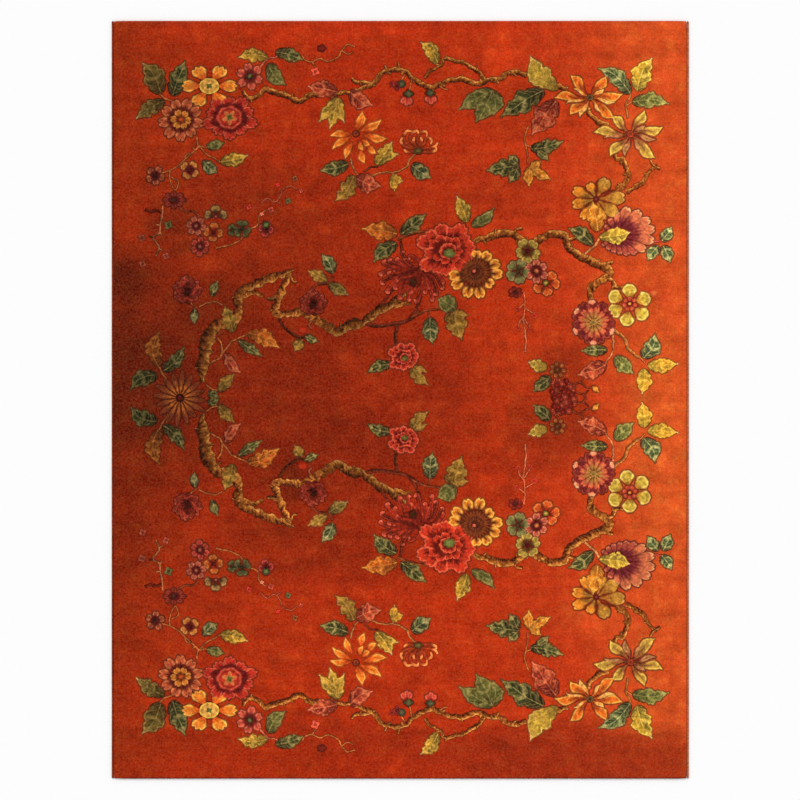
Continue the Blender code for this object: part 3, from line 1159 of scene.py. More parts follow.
def left_corner():
    """The upper left corner: gold, pink, salmon and crimson flowers with their leaves."""
    stems, leaves, petals = beds("left_corner")
    pink_flower = (249.8, 76.3)
    gold_flower = (209.3, 86)
    salmon_flower = (181, 119.7)
    for row in (
        ([(158, 93), (166, 99), (174, 102), (186, 106)], 2.0),
        ([(197, 137), (199, 146), (208, 155), (222, 162), (230, 161)], 1.7),
        ([(199, 146), (194, 152), (183, 162), (173, 169), (162, 173)], 1.6),
        ([(199, 146), (205, 147), (212, 145)], 1.2),
        ([(170, 170), (170, 180), (175, 190), (178, 182), (172, 177)], 1.4),
        ([(258, 69), (263, 63), (269, 59), (277, 57)], 1.9, dye(186, 100, 76)),
        ([(190, 153), (187, 154), (185, 158)], 1.2),
        ([(196, 150), (192, 147)], 1.1),
    ):
        twig(stems, *row)
    for row in (
        ((161, 93), (143, 62), 23, "olive", 3, 0.32, 0.06),
        ((172.7, 95.5), (186.5, 61.5), 19, "pine", 3, 0.28, -0.05),
        ((164, 101), (136.5, 120), 16, "olive", 4, 0.35, 0.08),
        ((267, 57), (238, 56.5), 14, "lime", 3, 0.5, 0.06),
        ((276, 52), (303, 61), 14, "pine", 3, 0.3, -0.08),
        ((268.5, 64), (285, 86), 16, "sage", 3, 0.25, 0.08),
        ((221, 162), (248, 156.5), 14, "lime", 3, 0.35, 0.0),
        ((207, 147), (224, 142), 10, "sage", 2, 0.25, 0.05),
        ((203, 161), (217, 173), 13, "teal", 2, 0.25, 0.05, 0.9),
    ):
        leaf(leaves, *row)
    blossom(petals, pink_flower, 13.6, 6, PINK_PETAL, 0.82, 0.35, 0.2, 1.0, 0.2, 2, 0.3)
    disc(petals, pink_flower, 3.2, rings(SAGE, (0.5, dye(60, 40, 34))), rise=0.0002)
    blossom(petals, gold_flower, 28.0, 6, GOLD_PETAL, 0.72, 0.0, 0.33, 0.8, 0.2, 3, 0.24, 0.04, waist=0.55)
    disc(petals, gold_flower, 9.8, rings(dye(216, 176, 92), (0.62, dye(192, 138, 66)), (0.8, YELLOW)), 0.8,
         rise=0.0002)
    disc(petals, gold_flower, 4.6, rings(dye(84, 92, 46), (0.6, OLIVE)), 0.85, 4, 0.55, 0.6, rise=0.0003)
    blossom(petals, salmon_flower, 22.5, 9, SALMON_PETAL, 0.96, 0.2, 0.3, 1.0, 0.24, 2, 0.28)
    inner_petal = petal_paint(dye(110, 52, 24), dye(178, 108, 44), dye(206, 148, 72), 0.1, 0.4, 0.9)
    blossom(petals, salmon_flower, 10.6, 6, inner_petal, 0.95, 0.1, 0.1, 1.0, 0.2, 2, 0.3, rise=0.0003)
    disc(petals, salmon_flower, 3.0, rings(dye(182, 72, 38), (0.6, dye(120, 60, 28))), rise=0.0005)
    crimson_peony(petals, (229.5, 117.5))
    small_flower(petals, (155, 176), 10.5, 5, dye(160, 78, 52), dye(206, 122, 86), dye(60, 44, 36), 0.2, 0.9)
    small_flower(petals, (190, 170), 10.5, 4, dye(202, 128, 60), dye(220, 156, 84), MAROON, 0.6, 0.9)
    small_flower(petals, (174, 200), 12.5, 8, dye(134, 42, 34), dye(168, 74, 60), dye(84, 48, 36), 0.0, 0.9,
                 squash=0.72)


def crimson_peony(bed, middle):
    """A full flower: crimson petals round a coral cup with a pale star in it."""
    disc(bed, middle, 20, rings(MAROON, (0.8, dye(96, 26, 30))), 0.86, 9, 0.15)
    reaches = (30, 24.5, 27.5, 25, 29.5, 24, 28, 25, 29, 25.5)
    for k, reach in enumerate(reaches):
        angle = 0.25 + 2 * math.pi * k / len(reaches)
        root = (middle[0] + 11 * math.cos(angle), middle[1] + 9 * math.sin(angle))
        petal(bed, root, angle, reach - 11, 13.5, CRIMSON_PETAL, 0.3, 3, 0.34, 0.8, 0.06, squash=0.86)
    cup = rings(dye(168, 54, 36), (0.55, dye(140, 38, 30)), (0.76, dye(204, 96, 74)),
                (0.87, dye(104, 26, 26)))
    disc(bed, middle, 14.6, cup, 0.9, 7, 0.1, 0.4, rise=0.0003)
    pale = rings(dye(158, 104, 56), (0.5, dye(184, 106, 64)))
    disc(bed, middle, 8.4, pale, 0.95, 5, 0.5, 0.3, rise=0.0005, outline=dye(140, 40, 32))
    disc(bed, middle, 4.6, rings(MOSS, (0.6, OLIVE)), 0.9, 4, 0.6, 0.5, rise=0.0006, edge=0.8)


def left_sprigs():
    """Small flowers and buds on thin twigs, between the corner and the trunk."""
    stems, _, petals = beds("left_sprigs")
    pale = dye(182, 118, 80)
    for row in (
        ([(163, 206), (162, 215), (160, 224), (159, 232), (153.5, 237), (156, 243), (159, 248), (156, 256)],
         1.7, pale),
        ([(160, 226), (156, 225)], 1.2, pale),
        ([(159, 231), (162, 235)], 1.2, pale),
        ([(153.5, 237), (149, 236)], 1.1, dye(120, 60, 40)),
        ([(159, 248), (163, 251)], 1.1, pale),
        ([(179, 208), (186, 211), (193, 212), (198, 216)], 2.0, dye(128, 62, 40)),
        ([(145, 210), (151, 212), (156, 210), (162, 212)], 3.2, dye(108, 36, 20)),
        ([(216, 248), (228, 246), (238, 241), (243, 236)], 1.5),
        ([(250, 229), (258, 225), (259, 215), (266, 211)], 1.3),
        ([(261, 203), (265, 200), (268, 199), (273, 202), (277, 201), (280, 195), (282, 190), (291, 186),
          (297, 190)], 1.2, dye(170, 84, 60)),
        ([(277, 201), (281, 203)], 1.1, dye(170, 84, 60)),
    ):
        twig(stems, *row)
    for place, size, tone in (
        ((142, 238), 4.6, dye(146, 70, 54)), ((166, 256), 3.8, dye(170, 80, 62)),
        ((142.5, 264), 4.0, dye(162, 78, 60)), ((168.5, 225), 5.0, dye(96, 94, 56)),
        ((271, 210), 3.6, dye(168, 70, 56)),
        ((249, 207), 3.2, dye(176, 54, 44)), ((295, 178.5), 3.4, dye(124, 72, 42)),
        ((288, 201), 3.4, dye(84, 84, 56)), ((278, 185), 2.4, CRIMSON),
        ((301, 191), 2.2, ROSE), ((262, 214), 2.2, PINK),
    ):
        bud(petals, place, size, tone)
    green_petal = petal_paint(dye(66, 44, 30), dye(124, 98, 58), dye(160, 134, 86), 0.1, 0.5, 1.1)
    round_petals(petals, [(209, 215), (222.5, 215), (215.6, 209.8)], 4.6, green_petal, (215.8, 217))
    disc(petals, (215.8, 216.6), 1.8, rings(dye(140, 90, 70), (0.6, MAROON)), rise=0.0003, edge=0.8)
    small_flower(petals, (196.3, 226), 10.5, 6, dye(164, 76, 60), dye(206, 126, 100), dye(150, 88, 74), 0.2)
    small_flower(petals, (213.5, 232.5), 10.5, 4, dye(190, 100, 44), dye(214, 136, 70), MAROON, 0.1, 0.92,
                 root=dye(150, 50, 26))
    small_flower(petals, (200, 246.6), 10.5, 6, dye(160, 50, 42), dye(202, 98, 80), dye(150, 88, 74), 0.6)
    leaf_green = dye(88, 86, 58)
    small_flower(petals, (242, 229), 9.5, 3, leaf_green, SAGE, dye(46, 52, 38), 0.6, 1.0, root=PINE)
    small_flower(petals, (233, 230), 6, 3, leaf_green, SAGE, dye(46, 52, 38), 2.1, 1.0, root=PINE)
    small_flower(petals, (266, 229), 8, 4, dye(116, 34, 38), ROSE, dye(60, 24, 28), 0.2)
    disc(petals, (266, 225), 3.4, rings(SAGE, (0.6, PINE)), rise=0.0002)


def top_branch():
    """The long branch near the upper end, with its twigs, leaves and buds."""
    stems, leaves, petals = beds("top_branch")
    for row in (
        ([(243, 91), (248, 97), (254, 98), (266, 90), (279, 93), (291, 98), (300, 102), (309, 96), (320, 94),
          (332, 94)], [3.5, 4.8, 6.0, 6.0, 5.4, 5.4]),
        ([(330, 95), (342, 92), (351, 92), (361, 89), (373, 83), (381, 74), (387, 71), (399, 70), (410, 75),
          (420, 83), (430, 87), (438, 86), (448, 81), (461, 79), (475, 84), (486, 81), (500, 79), (508, 74),
          (517, 72), (526, 75)], [4.6, 5.0, 5.0, 5.8, 5.4]),
        ([(351, 79), (357, 82), (364, 82), (371, 84)], [3.4, 3.8]),
        ([(384, 66), (386, 71)], [2.0, 3.0]),
        ([(397, 63), (399, 70)], [2.0, 3.2]),
        ([(485, 80), (477, 71), (464, 62), (453, 60), (443, 59), (442, 64), (431, 71), (425, 78)],
         [4.2, 3.6, 2.8]),
        ([(554, 83), (560, 87), (567, 90)], [4.5, 5.0]),
    ):
        branch(stems, *row)
    for row in (
        ([(303, 56), (306, 60), (313, 62), (320, 58), (327, 62), (336, 58), (342, 51), (347, 45), (355, 46)],
         1.4),
        ([(342, 51), (348, 54), (353, 52)], 1.1),
        ([(313, 62), (315, 68)], 1.1),
        ([(399, 84), (402, 78), (404, 75)], 1.3),
        ([(409, 92), (411, 84), (412, 78)], 1.2),
        ([(430, 92), (430, 87)], 1.2),
        ([(438, 86), (443, 89), (448, 90)], 1.3),
    ):
        twig(stems, *row)
    for row in (
        ((437.8, 63), (421, 41.5), 15, "lime", 3, 0.35, 0.08),
        ((337, 92), (307.5, 87.5), 17, "rose", 3, 0.3, 0.05),
        ((350, 91.6), (372, 106), 17, "rose", 2, 0.25, 0.08),
        ((338.3, 98), (343.5, 123), 11, "lime", 2, 0.25, 0.05),
        ((338.3, 98), (318, 121), 12, "lime", 2, 0.3, -0.05),
        ((338, 99), (331, 129), 13, "lime", 3, 0.3, 0.03),
        ((492.6, 90.4), (460, 111), 17, "sage", 2, 0.15, 0.06),
        ((492.6, 90.4), (494, 116), 17, "sage", 2, 0.15, -0.06),
        ((492.6, 90.4), (477, 123), 21, "sage", 3, 0.18, 0.0),
        ((557, 90), (529, 57), 23, "citron", 3, 0.26, -0.08, 0.95),
        ((543.4, 90.4), (502, 118.5), 21, "pine", 3, 0.28, 0.06),
        ((556, 101), (533, 136), 23, "rose", 3, 0.28, 0.04),
    ):
        leaf(leaves, *row)
    disc(petals, (321.7, 48.3), 4.6, rings(dye(122, 38, 28), (0.5, dye(94, 30, 24))), 0.75, 5, 0.2, edge=1.2)
    calyx = dye(78, 80, 58)
    bud(petals, (315.3, 71.5), 5.0, dye(204, 80, 62), turn=1.57)
    bud(petals, (397, 86), 5.2, dye(108, 36, 34), calyx, -0.4)
    bud(petals, (392, 84), 3.4, dye(120, 36, 34))
    coral_bud = petal_paint(dye(110, 30, 26), dye(182, 62, 50), dye(212, 102, 82), 0.1, 0.35, 0.8)
    petals_to(petals, (408, 93), [(401, 104), (406, 106.5), (411, 105)], 5.4, coral_bud, 1.5)
    disc(petals, (408.4, 94), 4.8, rings(calyx, (0.6, PINE)), 0.8, 4, 0.35, rise=0.0002)
    petals_to(petals, (430.5, 93), [(426, 102), (431, 105), (436, 102)], 5.4, coral_bud, 1.5)
    disc(petals, (430, 93), 4.4, rings(calyx, (0.6, PINE)), 0.8, 4, 0.35, rise=0.0002)


def upper_spray():
    """An orange ray flower and a half-open chrysanthemum, with the leaves below them."""
    stems, leaves, petals = beds("upper_spray")
    ray_flower = (355.5, 133.7)
    for row in (
        ([(350, 158), (353, 167), (358, 176)], 2.0, dye(176, 114, 66)),
        ([(364, 172), (370, 167), (378, 167)], 1.6, dye(104, 46, 28)),
        ([(372, 176), (380, 173), (394, 172), (406, 167), (410, 160), (416, 154)], 2.0, dye(172, 110, 64)),
        ([(392, 173), (395, 178)], 1.4),
        ([(372, 176), (364, 180)], 1.6),
    ):
        twig(stems, *row)
    for row in (
        ((376.5, 164.3), (391, 141), 16, "lime", 3, 0.5, 0.08),
        ((382, 160), (398, 153.5), 9, "lime", 2, 0.3, -0.05),
        ((348, 164), (319.5, 169.5), 15, "pine", 3, 0.25, -0.08),
        ((354, 176), (336, 201.5), 17, "moss", 3, 0.48, -0.06),
        ((356, 178), (381, 187), 19, "rose", 4, 0.42, 0.05),
        ((391, 177), (403, 182), 10, "yellow", 2, 0.25),
        ((392, 178), (395, 191), 8, "yellow", 2, 0.25),
        ((412, 165), (431.5, 177), 16, "teal", 2, 0.22, 0.08),
        ((467, 222), (456, 196.5), 15, "lime", 3, 0.35, 0.06),
    ):
        leaf(leaves, *row)
    for place, width, start in (
        ((370, 146), 5.5, 0.45), ((363, 150.5), 5.5, 0.45), ((330.5, 136), 7, 0.2),
        ((332.5, 149), 7, 0.2), ((345.5, 159), 6.5, 0.35), ((364.5, 163), 7, 0.55),
        ((376.5, 153.5), 6.5, 0.55), ((387, 138.5), 8, 0.25), ((381, 120), 8, 0.2),
        ((362, 111.5), 9, 0.15),
    ):
        root = part_way(ray_flower, place, start, start)
        lance(petals, root, place, width, ORANGE_RAY, 1.05, 0.07, outline=dye(110, 40, 16), point=0.85,
              sway=-0.02)
    disc(petals, (356, 133.7), 2.4, rings(MAROON, (0.6, dye(120, 60, 30))), rise=0.0003)
    cup_mum(petals)


CUP_SHARE = 0.9  # the cup is drawn this much smaller about its middle


def cup_mum(bed):
    """A half-open chrysanthemum: rust petals that curl inwards to pale ends."""
    middle = (418, 148)
    body = dye(148, 58, 30)
    pale = dye(220, 136, 78)
    for line in (
        [(416, 149), (404, 147), (399, 141), (401, 136)],
        [(415, 149), (406, 144), (402, 136), (406, 129), (412, 130)],
        [(415, 147), (409, 139), (411, 132), (417, 129), (419, 133)],
        [(418, 147), (417, 138), (421, 131), (427, 130), (428, 135)],
        [(419, 148), (425, 143), (428, 136), (433, 139), (432, 144)],
        [(420, 149), (430, 148), (437, 146), (440, 142)],
        [(418, 151), (428, 153), (437, 151), (438, 147)],
        [(416, 151), (408, 153), (402, 150)],
        [(417, 148), (413, 142), (414, 136)],
        [(418, 148), (422, 141), (421, 136)],
    ):
        smaller = [part_way(middle, place, CUP_SHARE, CUP_SHARE) for place in line]
        curl(bed, smaller, 2.3, body, pale, tip_start=0.58, outline=dye(104, 34, 18), edge=1.2)
    disc(bed, (418, 151), 4.8, rings(dye(98, 84, 46), (0.5, dye(70, 60, 34))), 0.6, 5, 0.2, rise=0.0003)


def star(bed, middle, petals, lobes, upper, lower, centre, heart):
    """Long bowed petals over short paler lobes, both given by their tips and widths."""
    for tips, paint, peak in ((lobes, lower, 1.3), (petals, upper, 1.5)):
        for u, v, width in tips:
            away = math.dist(middle, (u, v))
            root = (middle[0] + 3 * (u - middle[0]) / away, middle[1] + 3 * (v - middle[1]) / away)
            lance(bed, root, (u, v), width, paint, peak, 0.03, point=1.0, sway=-0.05)
    disc(bed, middle, 3.4, rings(heart, (0.5, centre)), 0.9, 6, 0.25, rise=0.0003)


def right_corner():
    """The upper right corner: two star flowers and a round one, with their leaves."""
    stems, leaves, petals = beds("right_corner")
    round_flower = (596, 199)
    twig(stems, [(628, 118), (626, 106), (631, 94)], 2.0, dye(150, 100, 50))
    twig(stems, [(632, 102), (627, 106)], 1.4)
    for row in (
        ([(586, 108), (592, 116), (599, 122), (608, 126)], [5.0, 5.0]),
        ([(613, 154), (616, 159), (622, 160), (628, 172), (625, 183), (617, 190), (612, 198)],
         [5.0, 7.0, 6.0]),
        ([(656, 165), (650, 172), (647, 176), (639, 185), (626, 192)], [3.0, 4.0, 5.0]),
        ([(650, 160), (654, 166), (660, 168)], [2.0, 3.0]),
    ):
        branch(stems, *row)
    twig(stems, [(528, 126), (525, 135), (525, 144), (527, 154), (528, 164)], 1.5)
    twig(stems, [(525, 144), (532, 148)], 1.2)
    for row in (
        ((630, 93), (599, 67), 17, "teal", 3, 0.25, 0.08),
        ((637, 90.4), (651, 57.5), 21, "lime", 3, 0.3, -0.05),
        ((632.7, 101.8), (669, 102.5), 16, "sage", 3, 0.32, -0.05),
        ((531, 149), (563, 140), 14, "pine", 3, 0.3, 0.08),
        ((536, 150), (549, 160), 9, "pine", 2, 0.25),
        ((518, 165), (508.5, 156), 11, "pine", 2, 0.25),
        ((518, 167), (510, 182.5), 12, "pine", 2, 0.25),
        ((519, 166), (486.5, 172), 17, "pine", 3, 0.35, 0.05),
        ((530, 167), (550, 180), 11, "amber", 2, 0.3),
        ((530, 168), (541, 162), 9, "amber", 2, 0.3),
        ((530, 167), (528, 186), 11, "amber", 2, 0.3),
    ):
        leaf(leaves, *row)
    cream_lance = petal_paint(dye(170, 100, 44), dye(206, 150, 80), dye(226, 180, 104), 0.1, 0.3, 0.9)
    orange_lance = petal_paint(dye(140, 62, 26), dye(200, 104, 38), dye(226, 168, 78), 0.2, 0.45, 1.5)
    long_tips = [(554.5, 98, 9.5), (570, 75.5, 10), (606, 76, 10), (622.5, 94, 9.5), (615, 118, 10),
                 (570, 115, 10)]
    short_tips = [(566, 103.5, 4.5), (574, 88.5, 4.5), (604, 89, 5), (615, 102, 4.5), (580, 117, 6),
                  (601, 112, 4)]
    star(petals, (590, 97.5), long_tips, short_tips, orange_lance, cream_lance, dye(96, 84, 50),
         dye(66, 40, 30))
    olive_lance = petal_paint(dye(120, 76, 44), dye(162, 136, 60), dye(214, 182, 88), 0.3, 0.42, 1.8)
    brown_lance = petal_paint(dye(110, 54, 40), dye(146, 104, 66), dye(176, 134, 90), 0.1, 0.3, 0.9)
    long_tips = [(593.5, 132.5, 10), (611.5, 116.5, 10), (644.5, 110.5, 9.5), (663, 127, 9.5),
                 (655, 158, 11), (610, 156, 10)]
    short_tips = [(604, 138, 4.5), (645, 125, 4.5), (656, 139, 5), (625, 156, 6), (642, 151, 4.5)]
    star(petals, (630.5, 134.2), long_tips, short_tips, olive_lance, brown_lance, dye(150, 62, 40),
         dye(96, 40, 28))
    petals_to(petals, round_flower, [(604, 221)], 11.0, MUSTARD_PETAL, 2.5, notch=0.12, corner=0.34)
    petals_to(petals, round_flower, [(581, 219.5), (588.5, 182.5)], 10.5, AMBER_PETAL, 2.5, notch=0.12,
              corner=0.34)
    petals_to(petals, round_flower, [(572, 189), (571.5, 205.5)], 12.5, AMBER_PETAL, 2.5, notch=0.14,
              corner=0.34)
    petals_to(petals, round_flower, [(626, 197.5), (607.5, 178), (617.5, 215)], 15.0, MUSTARD_PETAL, 2.5,
              notch=0.1, corner=0.34)
    disc(petals, (596, 199.3), 2.9, rings(dye(130, 60, 50), (0.5, MAROON)), 1.0, 5, 0.3, rise=0.0003)


def right_branch():
    """The branch that winds down the right, its small flowers and a hanging sprig."""
    stems, leaves, petals = beds("right_branch")
    for row in (
        ([(474, 243), (480, 240), (487, 238), (500, 233), (511, 234), (522, 241), (530, 243), (538, 241),
          (551, 234), (564, 236), (569, 248), (582, 257), (597, 264), (608, 268), (609, 276), (597, 283),
          (589, 292), (592, 303)], [6.0, 8.0, 7.0, 8.0, 8.5, 9.0, 9.5, 8.0, 6.0]),
        ([(514, 234), (517, 230), (522, 229)], [3.5, 2.5]),
        ([(566, 240), (574, 239), (578, 236)], [3.5, 2.5]),
        ([(604, 266), (609, 262), (613, 262)], [3.5, 2.5]),
        ([(606, 278), (612, 281), (616, 288), (623, 288)], [4.5, 3.5]),
    ):
        branch(stems, *row)
    coral = dye(220, 112, 78)
    for row in (
        ([(582, 258), (587, 253), (594, 246), (599, 239)], 2.6, dye(196, 134, 84)),
        ([(611, 326), (617, 332), (625, 339), (629, 350), (639, 358)], 4.6, dye(170, 110, 56)),
        ([(612, 333), (613.5, 345), (613, 352), (609, 359), (603, 366)], 1.9, dye(196, 124, 82)),
        ([(639, 357), (645, 362)], 1.6),
        ([(524, 292), (524.2, 299.5), (524.2, 314.8), (523, 318.6), (525, 330), (525.5, 340.3), (525, 352)],
         2.0, coral),
        ([(524, 308), (529, 311), (534.4, 313.5)], 1.3, coral),
        ([(523.6, 318.6), (527, 323), (530, 327)], 1.3, coral),
        ([(523, 318), (519, 322), (518, 327)], 1.3, coral),
        ([(524, 304), (519, 308)], 1.2, coral),
    ):
        twig(stems, *row)
    closed = (((534.6, 315.5), 4.0), ((530, 330), 2.6), ((518, 329), 2.6), ((517.5, 309), 3.2),
              ((521.5, 295.6), 2.2))
    for place, size in closed:
        disc(petals, place, size, rings(dye(146, 34, 22), (0.5, dye(166, 58, 40))), 0.8, 4, 0.3, edge=0.8,
             outline=dye(120, 34, 22))
    for row in (
        ((607, 350), (581, 352), 12, "pine", 3, 0.25, 0.05),
        ((643.5, 358), (656, 334), 18, "teal", 3, 0.25, 0.1),
        ((614.8, 357), (634, 373), 15, "sage", 3, 0.25, 0.05),
        ((606, 364.5), (577, 374), 17, "rose", 3, 0.3, -0.08),
        ((648, 366), (678, 362.5), 15, "yellow", 3, 0.28, 0.06),
        ((644.5, 369), (641, 394), 16, "yellow", 3, 0.28, -0.07),
        ((547, 368), (528, 362.5), 13, "citron", 3, 0.4),
        ((550, 377), (533, 390.5), 13, "pine", 2, 0.25, -0.05),
    ):
        leaf(leaves, *row)
    small_flower(petals, (527.4, 251), 13.5, 5, dye(170, 150, 70), dye(206, 184, 100), MAROON, 0.4, 1.15,
                 root=dye(84, 62, 32))
    small_flower(petals, (518, 271.4), 13.5, 5, dye(124, 126, 78), dye(160, 154, 100), dye(74, 54, 36), 0.1,
                 1.15, root=dye(82, 84, 52))
    small_flower(petals, (536.4, 271), 13, 6, dye(184, 86, 70), dye(232, 148, 118), dye(190, 110, 70), 0.5)
    rust_petal = petal_paint(dye(150, 50, 26), dye(188, 84, 38), dye(216, 128, 70), 0.1, 0.3, 1.0)
    places = [(538.3, 288), (547.2, 291), (555, 284), (551.7, 276.5)]
    round_petals(petals, places, 5.2, rust_petal, (545, 283.5))
    disc(petals, (545.5, 283), 2.6, rings(YELLOW, (0.6, OLIVE)), rise=0.0003)
    small_flower(petals, (515.3, 292.5), 7.5, 6, dye(128, 38, 32), dye(164, 58, 46), dye(84, 40, 34), 0.3,
                 0.8, squash=0.75)
    small_flower(petals, (557.5, 370), 9.5, 7, dye(142, 70, 36), dye(186, 116, 62), dye(124, 80, 44), 0.1,
                 0.8, root=dye(90, 50, 26))
    leaf(petals, (592, 386.5), (599, 392), 5, "gold", 1, 0.1)
    for line in ([(572, 386), (580, 383), (586, 387), (592, 388)], [(574, 392), (583, 394), (588, 390)],
                 [(580, 383), (584, 377)], [(583, 394), (586, 398)]):
        twig(stems, line, 1.8, dye(128, 54, 32))


def right_flowers():
    """The aster, the yellow flower and the plum flower at the right side."""
    stems, leaves, petals = beds("right_flowers")
    aster = (616, 235)
    plum_flower = (593.8, 322.4)
    yellow_heart = (629.7, 303.8)
    leaf(leaves, (598, 231), (591.5, 202), 18, "amber", 3, 0.3, 0.05, rise=0.0009)
    for row in (
        ((593, 244), (569, 227.5), 15, "pine", 3, 0.25, 0.05),
        ((662, 241), (672, 227), 12, "teal", 2, 0.2),
        ((658, 246), (647, 260), 12, "teal", 2, 0.2),
        ((663, 246), (671, 262), 13, "teal", 2, 0.2),
    ):
        leaf(leaves, *row)
    twig(stems, [(652, 241), (658, 242), (664, 241)], 1.6, ROSE)
    parting = dye(74, 22, 24)
    aster_petal = petal_paint(dye(96, 36, 42), dye(170, 96, 68), dye(204, 148, 106), 0.1, 0.52, 2.4, parting)
    shaded_petal = petal_paint(dye(90, 34, 42), dye(146, 68, 56), dye(190, 116, 92), 0.1, 0.52, 1.8, parting)
    for place, width in (
        ((601.5, 246.5), 6), ((607, 250.5), 7), ((613.5, 253.5), 7.5), ((621, 255), 8),
        ((629, 255.5), 8.5), ((637, 254), 9), ((604, 225), 6), ((609, 218), 8), ((617, 211), 9.5),
        ((628, 206), 12), ((641, 210), 12.5), ((651, 218), 12), ((656, 228), 12),
        ((655.5, 240), 12), ((647, 250), 11),
    ):
        root = part_way(aster, place, 0.15, 0.2)
        angle = angle_to(root, place)
        paint = aster_petal if width > 9 else shaded_petal
        petal(petals, root, angle, math.dist(root, place), width, paint, 0.08, 2, 0.3, 0.9, 0.02,
              outline=dye(62, 20, 20))
    disc(petals, (615, 237), 10, rings(dye(96, 36, 44), (0.6, dye(78, 28, 34))), 0.8, 9, 0.2, rise=0.0002)
    leaf(petals, (599.5, 237.5), (630.5, 233.5), 17, "lime", 4, 0.2, 0.0, 0.95, rise=0.0004)
    yellow_petal = petal_paint(dye(150, 104, 44), dye(166, 150, 62), dye(224, 196, 110), 0.1, 0.25, 1.9)
    places = [(629.5, 291), (643.5, 299), (641.5, 313.5), (627, 319), (615.5, 310.5), (615.5, 297)]
    round_petals(petals, places, 7.6, yellow_petal, (629.5, 304), notch=0.05, corner=0.42, waist=0.55)
    red_petal = petal_paint(dye(110, 34, 26), dye(168, 62, 46), dye(190, 94, 68), 0.1, 0.3, 0.8)
    blossom(petals, yellow_heart, 8.0, 7, red_petal, 0.85, 0.2, 0.2, notch=0.1, rise=0.0003)
    disc(petals, yellow_heart, 2.4, rings(GOLD, (0.5, MAROON)), rise=0.0005, edge=0.8)
    plum = petal_paint(dye(70, 22, 24), dye(104, 36, 36), dye(150, 70, 60), 0.2, 0.4, 0.9)
    blossom(petals, plum_flower, 22, 11, plum, 1.2, 0.1, 0.3, 1.0, 0.18, 2, 0.25)
    peach_ray = petal_paint(dye(152, 112, 60), dye(184, 92, 66), dye(154, 60, 50), 0.4, 0.5, 1.0)
    blossom(petals, plum_flower, 16, 12, peach_ray, 1.2, 0.25, 0.15, 1.0, 0.16, 2, 0.25, rise=0.0002,
            uneven=0.15)
    disc(petals, plum_flower, 4.2, rings(dye(84, 84, 44), (0.4, dye(150, 116, 62))), 1.0, 6, 0.4,
         rise=0.0004)
    fold = petal_paint(dye(206, 110, 86), dye(222, 140, 110), dye(232, 166, 130), 0.1, 0.3, 0.8)
    for angle in (0.47, 1.6, 2.69, 3.71, 4.62):
        root = towards(plum_flower, 17.5, angle)
        petal(petals, root, angle, 5.5, 8.0, fold, 0.2, 2, 0.45, 0.6, rise=0.0003)


